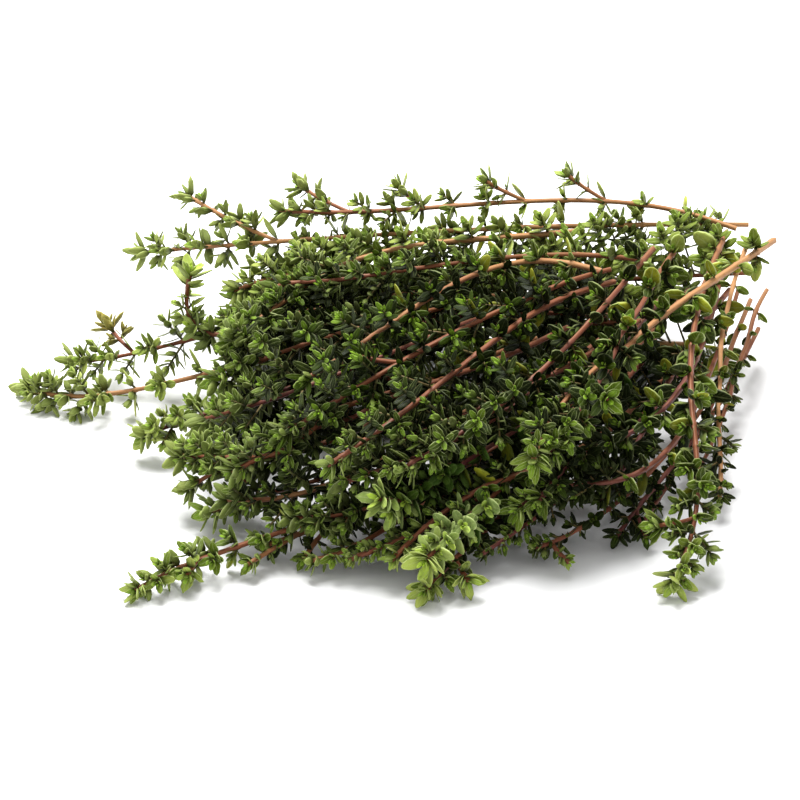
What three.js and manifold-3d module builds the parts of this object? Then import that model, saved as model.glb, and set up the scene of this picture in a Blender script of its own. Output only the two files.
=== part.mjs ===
// A loose bundle of fresh thyme lying on its side: leafy sprigs heaped with their cut feet together at
// the back right, fanning out to the left and the front. Each sprig is one piece: a four-angled woody
// stem with its side shoots, its crossed pairs of leaves and the tuft at each tip. Millimetres, +Z up,
// X to the right, Y away. The origin is under the middle of the heap, on the surface that it lies on.
import * as THREE from "three";
import { mergeVertices } from "three/addons/utils/BufferGeometryUtils.js";
import Module from "manifold-3d";

const wasm = await Module();
wasm.setup();

// Each sprig: the points that its stem runs through at its cut foot, one third, two thirds and its tip,
// the stem's radius at the foot, and any long side shoots as [share of the way along the stem, x, y, z
// of the shoot's tip]. A young sprig is paler, an inner one has fewer leaf pairs, and a lying one is
// under the heap with a flat side down.
const SPRIGS = [
  {
    route: [[89, 60, 34], [50, 63, 41], [8, 56, 42], [-32, 67, 36]],
    radius: 0.7,
    shoots: [[0.84, -27, 70, 42], [0.68, -1, 59, 47], [0.47, 22, 60, 48], [0.3, 44, 66, 47]],
  },
  {
    route: [[93, 69, 31], [37, 57, 36], [-16, 57, 33], [-71, 79, 18]],
    radius: 0.9,
    shoots: [[0.76, -58, 84, 33]],
  },
  { route: [[46, 52, 37], [14, 42, 39], [-15, 32, 37], [-42, 0, 30]], radius: 0.9 },
  { route: [[62, 33, 38], [33, 29, 41], [3, 23, 40], [-32, 22, 35]], radius: 0.8 },
  { route: [[51, 22, 40], [25, 19, 43], [2, -5, 42], [-23, -30, 36]], radius: 0.85 },
  { route: [[53, 17, 42], [29, -2, 43], [2, -26, 40], [-28, -48, 31]], radius: 0.85 },
  { route: [[54, 17, 40], [32, -5, 41], [10, -35, 38], [-17, -58, 28]], radius: 0.9 },
  { route: [[65, 35, 40], [47, -8, 41], [27, -38, 36], [0, -58, 27]], radius: 0.95 },
  { route: [[73, 43, 38], [61, 7, 39], [48, -32, 37], [34, -56, 30]], radius: 0.85 },
  {
    route: [[98, 51, 35], [73, 10, 39], [46, -28, 37], [31, -62, 31]],
    radius: 1.0,
    shoots: [[0.86, 41, -58, 31]],
  },
  {
    route: [[86, 56, 35], [71, -16, 33], [71, -48, 21], [64, -72, 4]],
    radius: 0.9,
    shoots: [[0.8, 60, -62, 14]],
  },
  { route: [[94, 65, 31], [81, 11, 26], [79, -15, 14], [78, -34, 5.5]], radius: 0.8 },
  { route: [[85, 48, 30], [66, -26, 28], [48, -43, 25], [33, -57, 18]], radius: 0.8, inner: true },
  { route: [[89, 48, 22], [64, -38, 20], [45, -49, 18], [28, -56, 15]], radius: 0.8 },
  {
    route: [[93, 54, 16], [72, -11, 12], [48, -47, 8], [32, -57, 5]],
    radius: 0.8,
    shoots: [[0.88, 40, -62, 4]],
  },
  { route: [[67, 30, 28], [39, -23, 27], [14, -47, 22], [-2, -59, 16]], radius: 0.8, young: true },
  {
    route: [[68, 37, 16], [42, -21, 12], [22, -51, 8], [6, -74, 3.5]],
    radius: 0.85,
    shoots: [[0.84, 16, -72, 5]],
  },
  { route: [[76, 48, 22], [42, -21, 20], [19, -54, 15], [6, -73, 11]], radius: 0.75, young: true },
  {
    route: [[31, 22, 26], [-5, -28, 24], [-31, -37, 19], [-54, -28, 14]],
    radius: 0.9,
    shoots: [[0.8, -52, -34, 8]],
  },
  {
    route: [[41, 5, 12], [0, -38, 10], [-36, -58, 7], [-62, -73, 3]],
    radius: 0.85,
    shoots: [[0.8, -50, -70, 5]],
  },
  { route: [[18, 29, 20], [-13, 10, 18], [-41, 1, 13], [-65, -5, 7]], radius: 0.8 },
  {
    route: [[26, 46, 20], [-18, 33, 15], [-65, 19, 8], [-97, 28, 3.5]],
    radius: 0.95,
    shoots: [[0.8, -90, 18, 4]],
  },
  {
    route: [[18, 44, 24], [-23, 36, 22], [-61, 33, 13], [-86, 34, 8]],
    radius: 0.85,
    shoots: [[0.78, -77, 44, 14]],
  },
  { route: [[10, 34, 26], [-20, 27, 23], [-48, 29, 18], [-54, 34, 34]], radius: 0.7, young: true },
  { route: [[18, 55, 27], [-5, 51, 27], [-26, 54, 24], [-44, 55, 18]], radius: 0.75 },
  { route: [[60, 6, 34], [39, -23, 35], [20, -38, 33], [0, -46, 28]], radius: 0.8 },
  { route: [[57, 18, 8], [25, -14, 8], [0, -47, 7], [-21, -63, 5]], radius: 0.8 },
  { route: [[95, 49, 10], [82, 13, 8], [70, -16, 6], [58, -44, 3]], radius: 0.8 },
  { route: [[34, 4, 30], [7, -22, 32], [-17, -39, 30], [-40, -47, 20]], radius: 0.85 },
  { route: [[40, 2, 22], [12, -28, 24], [-14, -47, 18], [-42, -46, 12]], radius: 0.8 },
  { route: [[50, -1, 18], [22, -36, 20], [-2, -53, 16], [-26, -54, 11]], radius: 0.8, inner: true },
  { route: [[24, 24, 32], [-3, 8, 33], [-25, 0, 30], [-46, -6, 23]], radius: 0.8 },
  { route: [[26, 24, 28], [0, -2, 30], [-25, -18, 27], [-49, -15, 17]], radius: 0.8 },
  { route: [[64, 17, 20], [39, -27, 18], [14, -53, 13], [-12, -64, 6]], radius: 0.8, inner: true },
  { route: [[74, 19, 16], [54, -22, 15], [38, -46, 12], [19, -62, 6]], radius: 0.8, inner: true },
  { route: [[50, 3, 30], [26, -34, 30], [7, -51, 28], [-15, -55, 21]], radius: 0.8 },
  { route: [[42, 6, 32], [17, -19, 33], [-5, -33, 32], [-30, -45, 26]], radius: 0.8 },
  { route: [[60, -10, 20], [38, -41, 20], [19, -52, 18], [-2, -68, 8]], radius: 0.8 },
  { route: [[86, 40, 26], [70, 0, 26], [58, -31, 20], [48, -46, 12]], radius: 0.8 },
  { route: [[97, 52, 20], [88, 29, 14], [82, 5, 9], [74, -19, 5]], radius: 0.75, inner: true },
  { route: [[20, -20, 18], [-4, -29, 13], [-27, -35, 9], [-47, -42, 6]], radius: 0.7 },
  {
    route: [[32, -15, 14], [10, -32, 10], [-12, -45, 7], [-32, -55, 5]],
    radius: 0.75,
    shoots: [[0.74, -23, -59, 3], [0.86, -36, -63, 4]],
  },
  {
    route: [[82, 14, 10], [72, -13, 9], [61, -34, 7], [52, -50, 4]],
    radius: 0.75,
    shoots: [[0.8, 59, -50, 4]],
  },
  { route: [[92, 58, 22], [42, 52, 22], [2, 50, 20], [-34, 60, 12]], radius: 0.8, inner: true },
  { route: [[84, 60, 10], [38, 56, 11], [-2, 48, 11], [-40, 52, 6]], radius: 0.8, inner: true },
  { route: [[66, 44, 15], [28, 38, 17], [-8, 36, 18], [-42, 44, 10]], radius: 0.8, inner: true },
  { route: [[58, 32, 22], [24, 28, 25], [-8, 22, 25], [-36, 26, 19]], radius: 0.8, inner: true },
  { route: [[50, 24, 12], [14, 16, 14], [-20, 12, 12], [-50, 6, 5]], radius: 0.8, inner: true },
  {
    route: [[63, 43, 0.5], [26, 23, 0.5], [-5, 9, 0.5], [-36, 4, 2.6]],
    radius: 0.9,
    lying: true,
    inner: true,
  },
  {
    route: [[89, 52, 0.5], [57, 26, 0.5], [25, -12, 0.5], [0, -52, 2.6]],
    radius: 0.9,
    lying: true,
    inner: true,
  },
  {
    route: [[80, 58, 0.5], [36, 60, 0.5], [-4, 62, 0.5], [-44, 66, 2.6]],
    radius: 0.9,
    lying: true,
    inner: true,
  },
];

// Stems. Fresh thyme stems are four-angled.
const TIP_RADIUS = 0.6;
const SHOOT_RADIUS = 0.6;
const SHOOT_ROOM = 1.35;
const SHOOT_CHANCE = 0.12;
const SHOOT_BEND = 0.08;
const SAMPLES = 48;

// How the sprigs settle: stems closer than this are eased apart until the heap lies free of crossings.
const SETTLED_GAP = 3.5;
const SETTLING_ROUNDS = 80;
const STIFFNESS = 0.1;
const FLOOR_LIFT = 0.5;

// Where the leaf pairs stand along a stem, counted back from its tip.
const FIRST_PAIR = 1.6;
const TIP_GAP = 2.2;
const GAP_GROWTH = 0.75;
const WIDEST_GAP = 11;
const BARE_FOOT = 6;
const BARE_SHOOT = 5.2;
const NODE_LENGTH = 1.5;

// Leaves.
const TIP_PITCH = 0.7;
const PITCH = 1.1;
const SHORTEST_BLADE = 4.6;
const LONGEST_BLADE = 6.3;
const BLADE_GROWTH = 0.03;
const NARROW = 0.5;
const FULL = 0.62;
const TUFTED_NODES = 8;
const TUFT_SHARE = 0.75;
const CLEARANCE = 0.35;
const ROOT_ROOM = 1.2;

const LEAF_GREEN = 0x3f6b2c;
const YOUNG_GREEN = 0x7d9f45;
const UP = new THREE.Vector3(0, 0, 1);
const HEAP_MIDDLE = new THREE.Vector3(-0.3, 5, 0);
const QUARTER = Math.PI / 2;

// A repeatable number from 0 to 1 for sprig s, place n and use k.
function chance(s, n, k) {
  const wave = Math.sin(s * 12.9898 + n * 78.233 + k * 37.719) * 43758.5453;
  return wave - Math.floor(wave);
}

// The point at share t of the cubic that passes through four points at 0, 1/3, 2/3 and 1.
function cubicThrough(points, t) {
  const knots = [0, 1 / 3, 2 / 3, 1];
  const sum = new THREE.Vector3();
  points.forEach((p, a) => {
    const weight = knots.reduce((w, k, b) => (a === b ? w : (w * (t - k)) / (knots[a] - k)), 1);
    sum.addScaledVector(new THREE.Vector3(...p), weight);
  });
  return sum;
}

// Eases the stems' sample points apart until those of different sprigs are SETTLED_GAP from each other.
function settle(lines) {
  for (let round = 0; round < SETTLING_ROUNDS; round++) {
    const moves = lines.map((line) => line.map(() => new THREE.Vector3()));
    const counts = lines.map((line) => line.map(() => 0));
    lines.forEach((line, s) =>
      line.forEach((p, i) => {
        for (let r = s + 1; r < lines.length; r++)
          for (let j = 0; j <= SAMPLES; j++) {
            const apart = p.distanceTo(lines[r][j]);
            if (apart >= SETTLED_GAP) continue;
            const push = p.clone().sub(lines[r][j]).multiplyScalar((SETTLED_GAP - apart) / (2 * apart));
            moves[s][i].add(push);
            moves[r][j].sub(push);
            counts[s][i]++;
            counts[r][j]++;
          }
      }),
    );
    lines.forEach((line, s) => {
      const mean = moves[s].map((m, i) => m.divideScalar(Math.max(1, counts[s][i])));
      line.forEach((p, i) => {
        const before = mean[Math.max(0, i - 1)];
        const after = mean[Math.min(SAMPLES, i + 1)];
        p.addScaledVector(mean[i], 0.5).addScaledVector(before, 0.25).addScaledVector(after, 0.25);
      });
      const middles = line.map((p, i) => {
        const inside = i > 0 && i < SAMPLES;
        return inside ? line[i - 1].clone().lerp(line[i + 1], 0.5) : p;
      });
      line.forEach((p, i) => {
        p.lerp(middles[i], STIFFNESS);
        p.z = Math.max(p.z, FLOOR_LIFT);
      });
    });
  }
  return lines;
}

// A line that things stand on: where it is, and which way is along, across and up, at a share of its
// length. Across is square to a pole that the line never runs along. From across to up is
// anticlockwise, seen from the tip.
class Line {
  constructor(points, pole = UP) {
    this.points = points;
    this.pole = pole;
    this.length = points.slice(1).reduce((sum, p, i) => sum + p.distanceTo(points[i]), 0);
  }
  at(share) {
    const last = this.points.length - 1;
    const place = Math.min(Math.max(share, 0), 1) * last;
    const i = Math.min(Math.floor(place), last - 1);
    const point = this.points[i].clone().lerp(this.points[i + 1], place - i);
    const along = this.points[i + 1].clone().sub(this.points[i]).normalize();
    const across = this.pole.clone().cross(along).normalize();
    return { point, along, across, up: along.clone().cross(across) };
  }
}

// A point at a distance out from a line, turned round it by roll.
function beside({ point, across, up }, distance, roll) {
  return point
    .clone()
    .addScaledVector(across, distance * Math.cos(roll))
    .addScaledVector(up, distance * Math.sin(roll));
}

// A surface under construction. Nothing in it goes below the surface that the bundle lies on.
class Shell {
  points = [];
  faces = [];
  add(point) {
    return this.points.push(point.setZ(Math.max(point.z, 0))) - 1;
  }
  ring(frame, radius, roll) {
    return [0, 1, 2, 3].map((k) => this.add(beside(frame, radius, roll + k * QUARTER)));
  }
  quad([a, b, c, d]) {
    this.faces.push(a, b, c, a, c, d);
  }
  // A keeled leaf in place of a quad: two shoulders and a tip, with the quad for its root.
  leaf([a, b, c, d], left, right, tip) {
    const [l, r, t] = [left, right, tip].map((p) => this.add(p));
    this.faces.push(a, b, t, b, r, t, a, t, l, b, c, r, d, a, l, c, d, t, c, t, r, d, l, t);
  }
  // A slim young leaf in place of a quad.
  spike([a, b, c, d], tip) {
    const t = this.add(tip);
    this.faces.push(a, b, t, b, c, t, c, d, t, d, a, t);
  }
  geometry() {
    return new THREE.BufferGeometry().setFromPoints(this.points).setIndex(this.faces);
  }
}

// The four sides between two rings of a stem.
function sidesBetween(lower, upper) {
  return lower.map((a, i) => [a, lower[(i + 1) % 4], upper[(i + 1) % 4], upper[i]]);
}

// A closed geometry as a solid, for finding what would cross what.
function solidOf(geometry) {
  geometry.deleteAttribute("normal");
  geometry.deleteAttribute("uv");
  const merged = mergeVertices(geometry, 1e-4);
  const mesh = new wasm.Mesh({
    numProp: 3,
    vertProperties: merged.attributes.position.array,
    triVerts: new Uint32Array(merged.index.array),
  });
  return new wasm.Manifold(mesh);
}

// The turn that takes a shape's own Y axis to a direction.
function turnTo(way) {
  return new THREE.Quaternion().setFromUnitVectors(new THREE.Vector3(0, 1, 0), way);
}

// The room that a length of stem takes up.
function stemRoom(line, from, to, radius) {
  const [start, end] = [line.at(from).point, line.at(to).point];
  const way = end.clone().sub(start);
  const geometry = new THREE.CylinderGeometry(radius, radius, way.length(), 6);
  geometry.applyQuaternion(turnTo(way.normalize()));
  const middle = start.lerp(end, 0.5);
  return solidOf(geometry.translate(middle.x, middle.y, middle.z));
}

// The room that a leaf takes up: a spindle about its middle line, broad at the root and broadest half
// way.
function leafRoom({ point }, { way, length, width }) {
  const tall = length + CLEARANCE;
  const broad = width / 2 + CLEARANCE;
  const geometry = new THREE.CylinderGeometry(CLEARANCE, ROOT_ROOM, tall, 6, 2);
  const places = geometry.attributes.position;
  for (let i = 0; i < places.count; i++) {
    if (Math.abs(places.getY(i)) > tall / 4) continue;
    const widening = broad / Math.hypot(places.getX(i), places.getZ(i));
    places.setX(i, places.getX(i) * widening);
    places.setZ(i, places.getZ(i) * widening);
  }
  geometry.applyQuaternion(turnTo(way));
  const middle = point.clone().addScaledVector(way, tall / 2);
  return solidOf(geometry.translate(middle.x, middle.y, middle.z));
}

// Everything that a later leaf has to stay clear of, with the stem or shoot that it belongs to.
const obstacles = [];

function remember(owner, solid) {
  obstacles.push({ owner, solid, box: solid.boundingBox() });
}

function isClear(owner, solid) {
  const { min, max } = solid.boundingBox();
  return !obstacles.some(
    (o) =>
      o.owner !== owner &&
      [0, 1, 2].every((k) => o.box.min[k] < max[k] && o.box.max[k] > min[k]) &&
      !solid.intersect(o.solid).isEmpty(),
  );
}

// The way that a leaf grows: leaning from the stem's direction by pitch, turned round it by roll, and
// lifted where it would dip into the surface. A leaf that would grow straight down into it has no way.
function leafWay(frame, roll, pitch, length) {
  const out = beside(frame, 1, roll).sub(frame.point);
  const way = frame.along.clone().multiplyScalar(Math.cos(pitch)).addScaledVector(out, Math.sin(pitch));
  const lowest = -frame.point.z / length;
  if (way.z < lowest - 0.4) return null;
  if (way.z >= lowest) return way;
  const flat = Math.sqrt(1 - lowest * lowest) / Math.hypot(way.x, way.y);
  return new THREE.Vector3(way.x * flat, way.y * flat, lowest);
}

// Puts a leaf on a side of a stem, shortened until it is clear of its neighbours; a plain side if it
// can't be.
function addLeaf(shell, owner, side, frame, { roll, pitch, length, width, slim }) {
  for (const scale of [1, 0.8, 0.65, 0.5]) {
    const reach = length * scale;
    const way = leafWay(frame, roll, pitch, reach);
    if (!way) break;
    const blade = { way, length: reach, width: width * scale };
    const room = leafRoom(frame, blade);
    if (!isClear(owner, room)) continue;
    remember(owner, room);
    const sideways = frame.along.clone().cross(way).normalize().multiplyScalar(blade.width / 2);
    const middle = frame.point.clone().addScaledVector(way, reach * 0.5);
    const tip = frame.point.clone().addScaledVector(way, reach);
    if (slim) shell.spike(side, tip);
    else shell.leaf(side, middle.clone().sub(sideways), middle.clone().add(sideways), tip);
    return;
  }
  shell.quad(side);
}

// How far back from the tip each leaf pair stands, nearest the tip first.
function pairPlaces(length, bare) {
  const places = [];
  let back = FIRST_PAIR;
  let gap = TIP_GAP;
  while (back < length - bare) {
    places.push(back);
    back += gap;
    gap = Math.min(gap + GAP_GROWTH, WIDEST_GAP);
  }
  return places;
}

// Whether pair n of a stem is built: the spaced ones near the foot are thinned, and so are all those of
// a sprig inside the heap.
function isKept(n, inner) {
  return n !== 1 && ((n < TUFTED_NODES && !inner) || n % 2 === 0);
}

// Grows a stem on from a ring of four points: a pair of rings at every leaf pair, leaves or a shoot on
// the sides between them, and a bud to close the tip.
function grow(shell, owner, line, base, { s, key, foot, tip, bare, roll, wander, shoots, inner }) {
  let previous = base;
  const places = pairPlaces(line.length, bare).map((back, n) => ({ back, n }));
  const half = NODE_LENGTH / 2 / line.length;
  const kept = places.filter(({ n }) => isKept(n, inner) || shoots.some((shoot) => shoot.n === n));
  for (const { back, n } of kept.reverse()) {
    const share = 1 - back / line.length;
    const radius = foot + (tip - foot) * share;
    const turn = roll + wander * (chance(s, n, key) - 0.5);
    const lower = shell.ring(line.at(share - half), radius, turn);
    const upper = shell.ring(line.at(share + half), radius, turn);
    sidesBetween(previous, lower).forEach((side) => shell.quad(side));
    const frame = line.at(share);
    sidesBetween(lower, upper).forEach((side, i) => {
      const shoot = shoots.find((o) => o.n === n && o.side === i);
      if (shoot) return growShoot(shell, side, shoot, s);
      const main = (i + n) % 2 === 0;
      if (!main && n >= TUFTED_NODES) return shell.quad(side);
      const vigour = 0.85 + 0.3 * chance(s, n + i, key + 1);
      const length = vigour * Math.min(SHORTEST_BLADE + back * BLADE_GROWTH, LONGEST_BLADE);
      addLeaf(shell, owner, side, frame, {
        roll: turn + (i + 0.5) * QUARTER,
        pitch: n ? PITCH : TIP_PITCH,
        length: main ? length : length * TUFT_SHARE,
        width: length * (n < TUFTED_NODES ? NARROW : FULL),
        slim: !main && n > 0,
      });
    });
    previous = upper;
  }
  const end = shell.add(line.at(1).point);
  previous.forEach((a, i) => shell.faces.push(a, previous[(i + 1) % 4], end));
}

// A shoot grows on from the side of its stem, its rings lined up with that side.
function growShoot(shell, side, { line, id, key }, s) {
  const corners = side.map((i) => shell.points[i]);
  const middle = corners.reduce((sum, p) => sum.add(p), new THREE.Vector3()).divideScalar(4);
  const frame = line.at(0.3);
  const corner = corners[0].clone().sub(middle);
  const roll = Math.atan2(corner.dot(frame.up), corner.dot(frame.across));
  const sizes = { foot: SHOOT_RADIUS, tip: SHOOT_RADIUS, bare: BARE_SHOOT };
  grow(shell, id, line, side, { s, key, ...sizes, roll, wander: 0, shoots: [] });
}

// A shoot's line, leaving its stem and bending out to its tip.
function shootLine({ point, along }, tip) {
  const reach = tip.clone().sub(point);
  const bend = point.clone().lerp(tip, 0.4).addScaledVector(along, reach.length() * SHOOT_BEND);
  const pole = along.clone().cross(reach).cross(reach);
  return new Line(new THREE.QuadraticBezierCurve3(point, bend, tip).getPoints(12), pole);
}

// The shoots of a sprig, each on the side of the stem that faces its tip: those that its entry names,
// and some that chance adds along its leafy half.
function shootsOf(s, line, roll) {
  const places = pairPlaces(line.length, BARE_FOOT);
  const { shoots: named = [], inner } = SPRIGS[s];
  const wanted = named.map(([share, ...tip]) => {
    const back = (1 - share) * line.length;
    const misses = places.map((place) => Math.abs(place - back));
    return { n: misses.indexOf(Math.min(...misses)), tip: new THREE.Vector3(...tip).sub(HEAP_MIDDLE) };
  });
  places.forEach((back, n) => {
    if (inner || n < 3 || n > 9 || !isKept(n) || chance(s, n, 11) > SHOOT_CHANCE) return;
    const frame = line.at(1 - back / line.length);
    const reach = 9 + 8 * chance(s, n, 13);
    const tip = beside(frame, reach * 0.65, chance(s, n, 12) * Math.PI);
    wanted.push({ n, tip: tip.addScaledVector(frame.along, reach * 0.75) });
  });
  return wanted
    .map(({ n, tip }, k) => {
      const frame = line.at(1 - places[n] / line.length);
      const out = tip.clone().sub(frame.point);
      const facing = Math.atan2(out.dot(frame.up), out.dot(frame.across)) - roll;
      const side = ((Math.floor(facing / QUARTER) % 4) + 4) % 4;
      return { n, side, line: shootLine(frame, tip), id: `${s}/${k}`, key: 20 + 10 * k };
    })
    .filter((shoot, k, all) => all.findIndex((o) => o.n === shoot.n) === k)
    .filter(({ line: way, id }) => {
      const misses = isClear(s, stemRoom(way, 0.3, 1, SHOOT_ROOM));
      const leaves = isClear(id, stemRoom(way, 0.45, 1, 1));
      if (!misses || !leaves) return false;
      [0.2, 0.4, 0.6, 0.8].forEach((from) => remember(id, stemRoom(way, from, from + 0.2, SHOOT_RADIUS)));
      return true;
    });
}

// The points along a sprig's route, before it settles.
function routePoints({ route }) {
  return Array.from({ length: SAMPLES + 1 }, (_, i) => cubicThrough(route, i / SAMPLES));
}

const settled = settle(SPRIGS.map(routePoints));
const lines = settled.map((points) => new Line(points.map((p) => p.sub(HEAP_MIDDLE))));

// Stems and shoots come first, so that every leaf knows them all.
lines.forEach((line, s) => {
  for (let step = 0; step < SAMPLES; step += 4)
    remember(s, stemRoom(line, step / SAMPLES, (step + 4) / SAMPLES, SPRIGS[s].radius));
});
const rolls = SPRIGS.map(({ lying }, s) => (lying ? QUARTER / 2 : chance(s, 0, 5) * QUARTER));
const shoots = lines.map((line, s) => shootsOf(s, line, rolls[s]));

const bundle = new THREE.Group();
SPRIGS.forEach(({ radius, young, lying, inner }, s) => {
  const shell = new Shell();
  const foot = shell.ring(lines[s].at(0), radius, rolls[s]);
  shell.quad([...foot].reverse());
  const sizes = { foot: radius, tip: TIP_RADIUS, bare: BARE_FOOT };
  const turns = { roll: rolls[s], wander: lying ? 0 : 0.5 };
  grow(shell, s, lines[s], foot, { s, key: 1, ...sizes, ...turns, shoots: shoots[s], inner });
  const start = lines[s].at(0).point;
  const geometry = shell.geometry().translate(-start.x, -start.y, -start.z);
  geometry.computeVertexNormals();
  const material = new THREE.MeshStandardMaterial({
    color: young ? YOUNG_GREEN : LEAF_GREEN,
    roughness: 0.6,
    metalness: 0,
  });
  const sprig = new THREE.Mesh(geometry, material);
  sprig.name = `sprig_${String(s + 1).padStart(2, "0")}`;
  sprig.position.copy(start);
  bundle.add(sprig);
});

export default bundle;
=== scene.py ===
"""A loose bundle of fresh thyme lying on its side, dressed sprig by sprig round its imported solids.

Each sprig gets a four-angled stem with swollen nodes and side shoots, and its leaves: a crossed pair
at every node, a tuft of small leaves in the corner of each, and a rosette at the tip. The table of
sprigs and the shapes that grow from it are in millimetres. The finished meshes, the camera and the
lights are in metres, +Z up, with the origin under the middle of the heap, on the surface it lies on.
"""

from typing import NamedTuple

import bpy
import numpy as np
from bpy.props import FloatProperty, FloatVectorProperty, PointerProperty
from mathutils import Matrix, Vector


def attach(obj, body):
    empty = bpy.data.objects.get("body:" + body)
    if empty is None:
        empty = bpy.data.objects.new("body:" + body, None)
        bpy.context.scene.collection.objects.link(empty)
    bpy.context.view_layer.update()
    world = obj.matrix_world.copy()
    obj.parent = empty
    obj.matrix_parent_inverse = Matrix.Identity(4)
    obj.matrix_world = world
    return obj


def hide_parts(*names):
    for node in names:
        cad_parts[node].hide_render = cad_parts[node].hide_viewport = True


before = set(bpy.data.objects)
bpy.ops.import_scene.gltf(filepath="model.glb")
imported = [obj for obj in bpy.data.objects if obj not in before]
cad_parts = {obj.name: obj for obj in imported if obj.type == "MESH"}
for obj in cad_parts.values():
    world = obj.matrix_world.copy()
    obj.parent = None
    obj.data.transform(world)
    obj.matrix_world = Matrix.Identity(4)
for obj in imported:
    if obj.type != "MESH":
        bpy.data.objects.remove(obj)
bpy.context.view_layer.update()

bl_info = {
    "name": "Thyme Bundle",
    "version": (1, 0, 0),
    "blender": (4, 5, 0),
    "location": "3D View > Sidebar > Thyme",
    "description": "Dresses the sprigs of a bundle of fresh thyme with fine stems and leaves",
    "category": "Object",
}

MM = 0.001
QUARTER = np.pi / 2
UP = np.array([0.0, 0.0, 1.0])


class Sprig(NamedTuple):
    """A sprig: the points that its stem runs through at its cut foot, one third, two thirds and its
    tip, the stem's radius at the foot, and its long side shoots as (share of the way along the stem,
    x, y, z of the shoot's tip). A young sprig is paler, and a bronze one has bronze shoots. An inner
    one lies inside the heap, and a lying one underneath it. Tufts scales the tufts in the corners of
    its leaves, and its leaf pairs a little."""

    route: list
    radius: float
    shoots: list = []
    kind: str = ""
    tufts: float = 1.0


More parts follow.
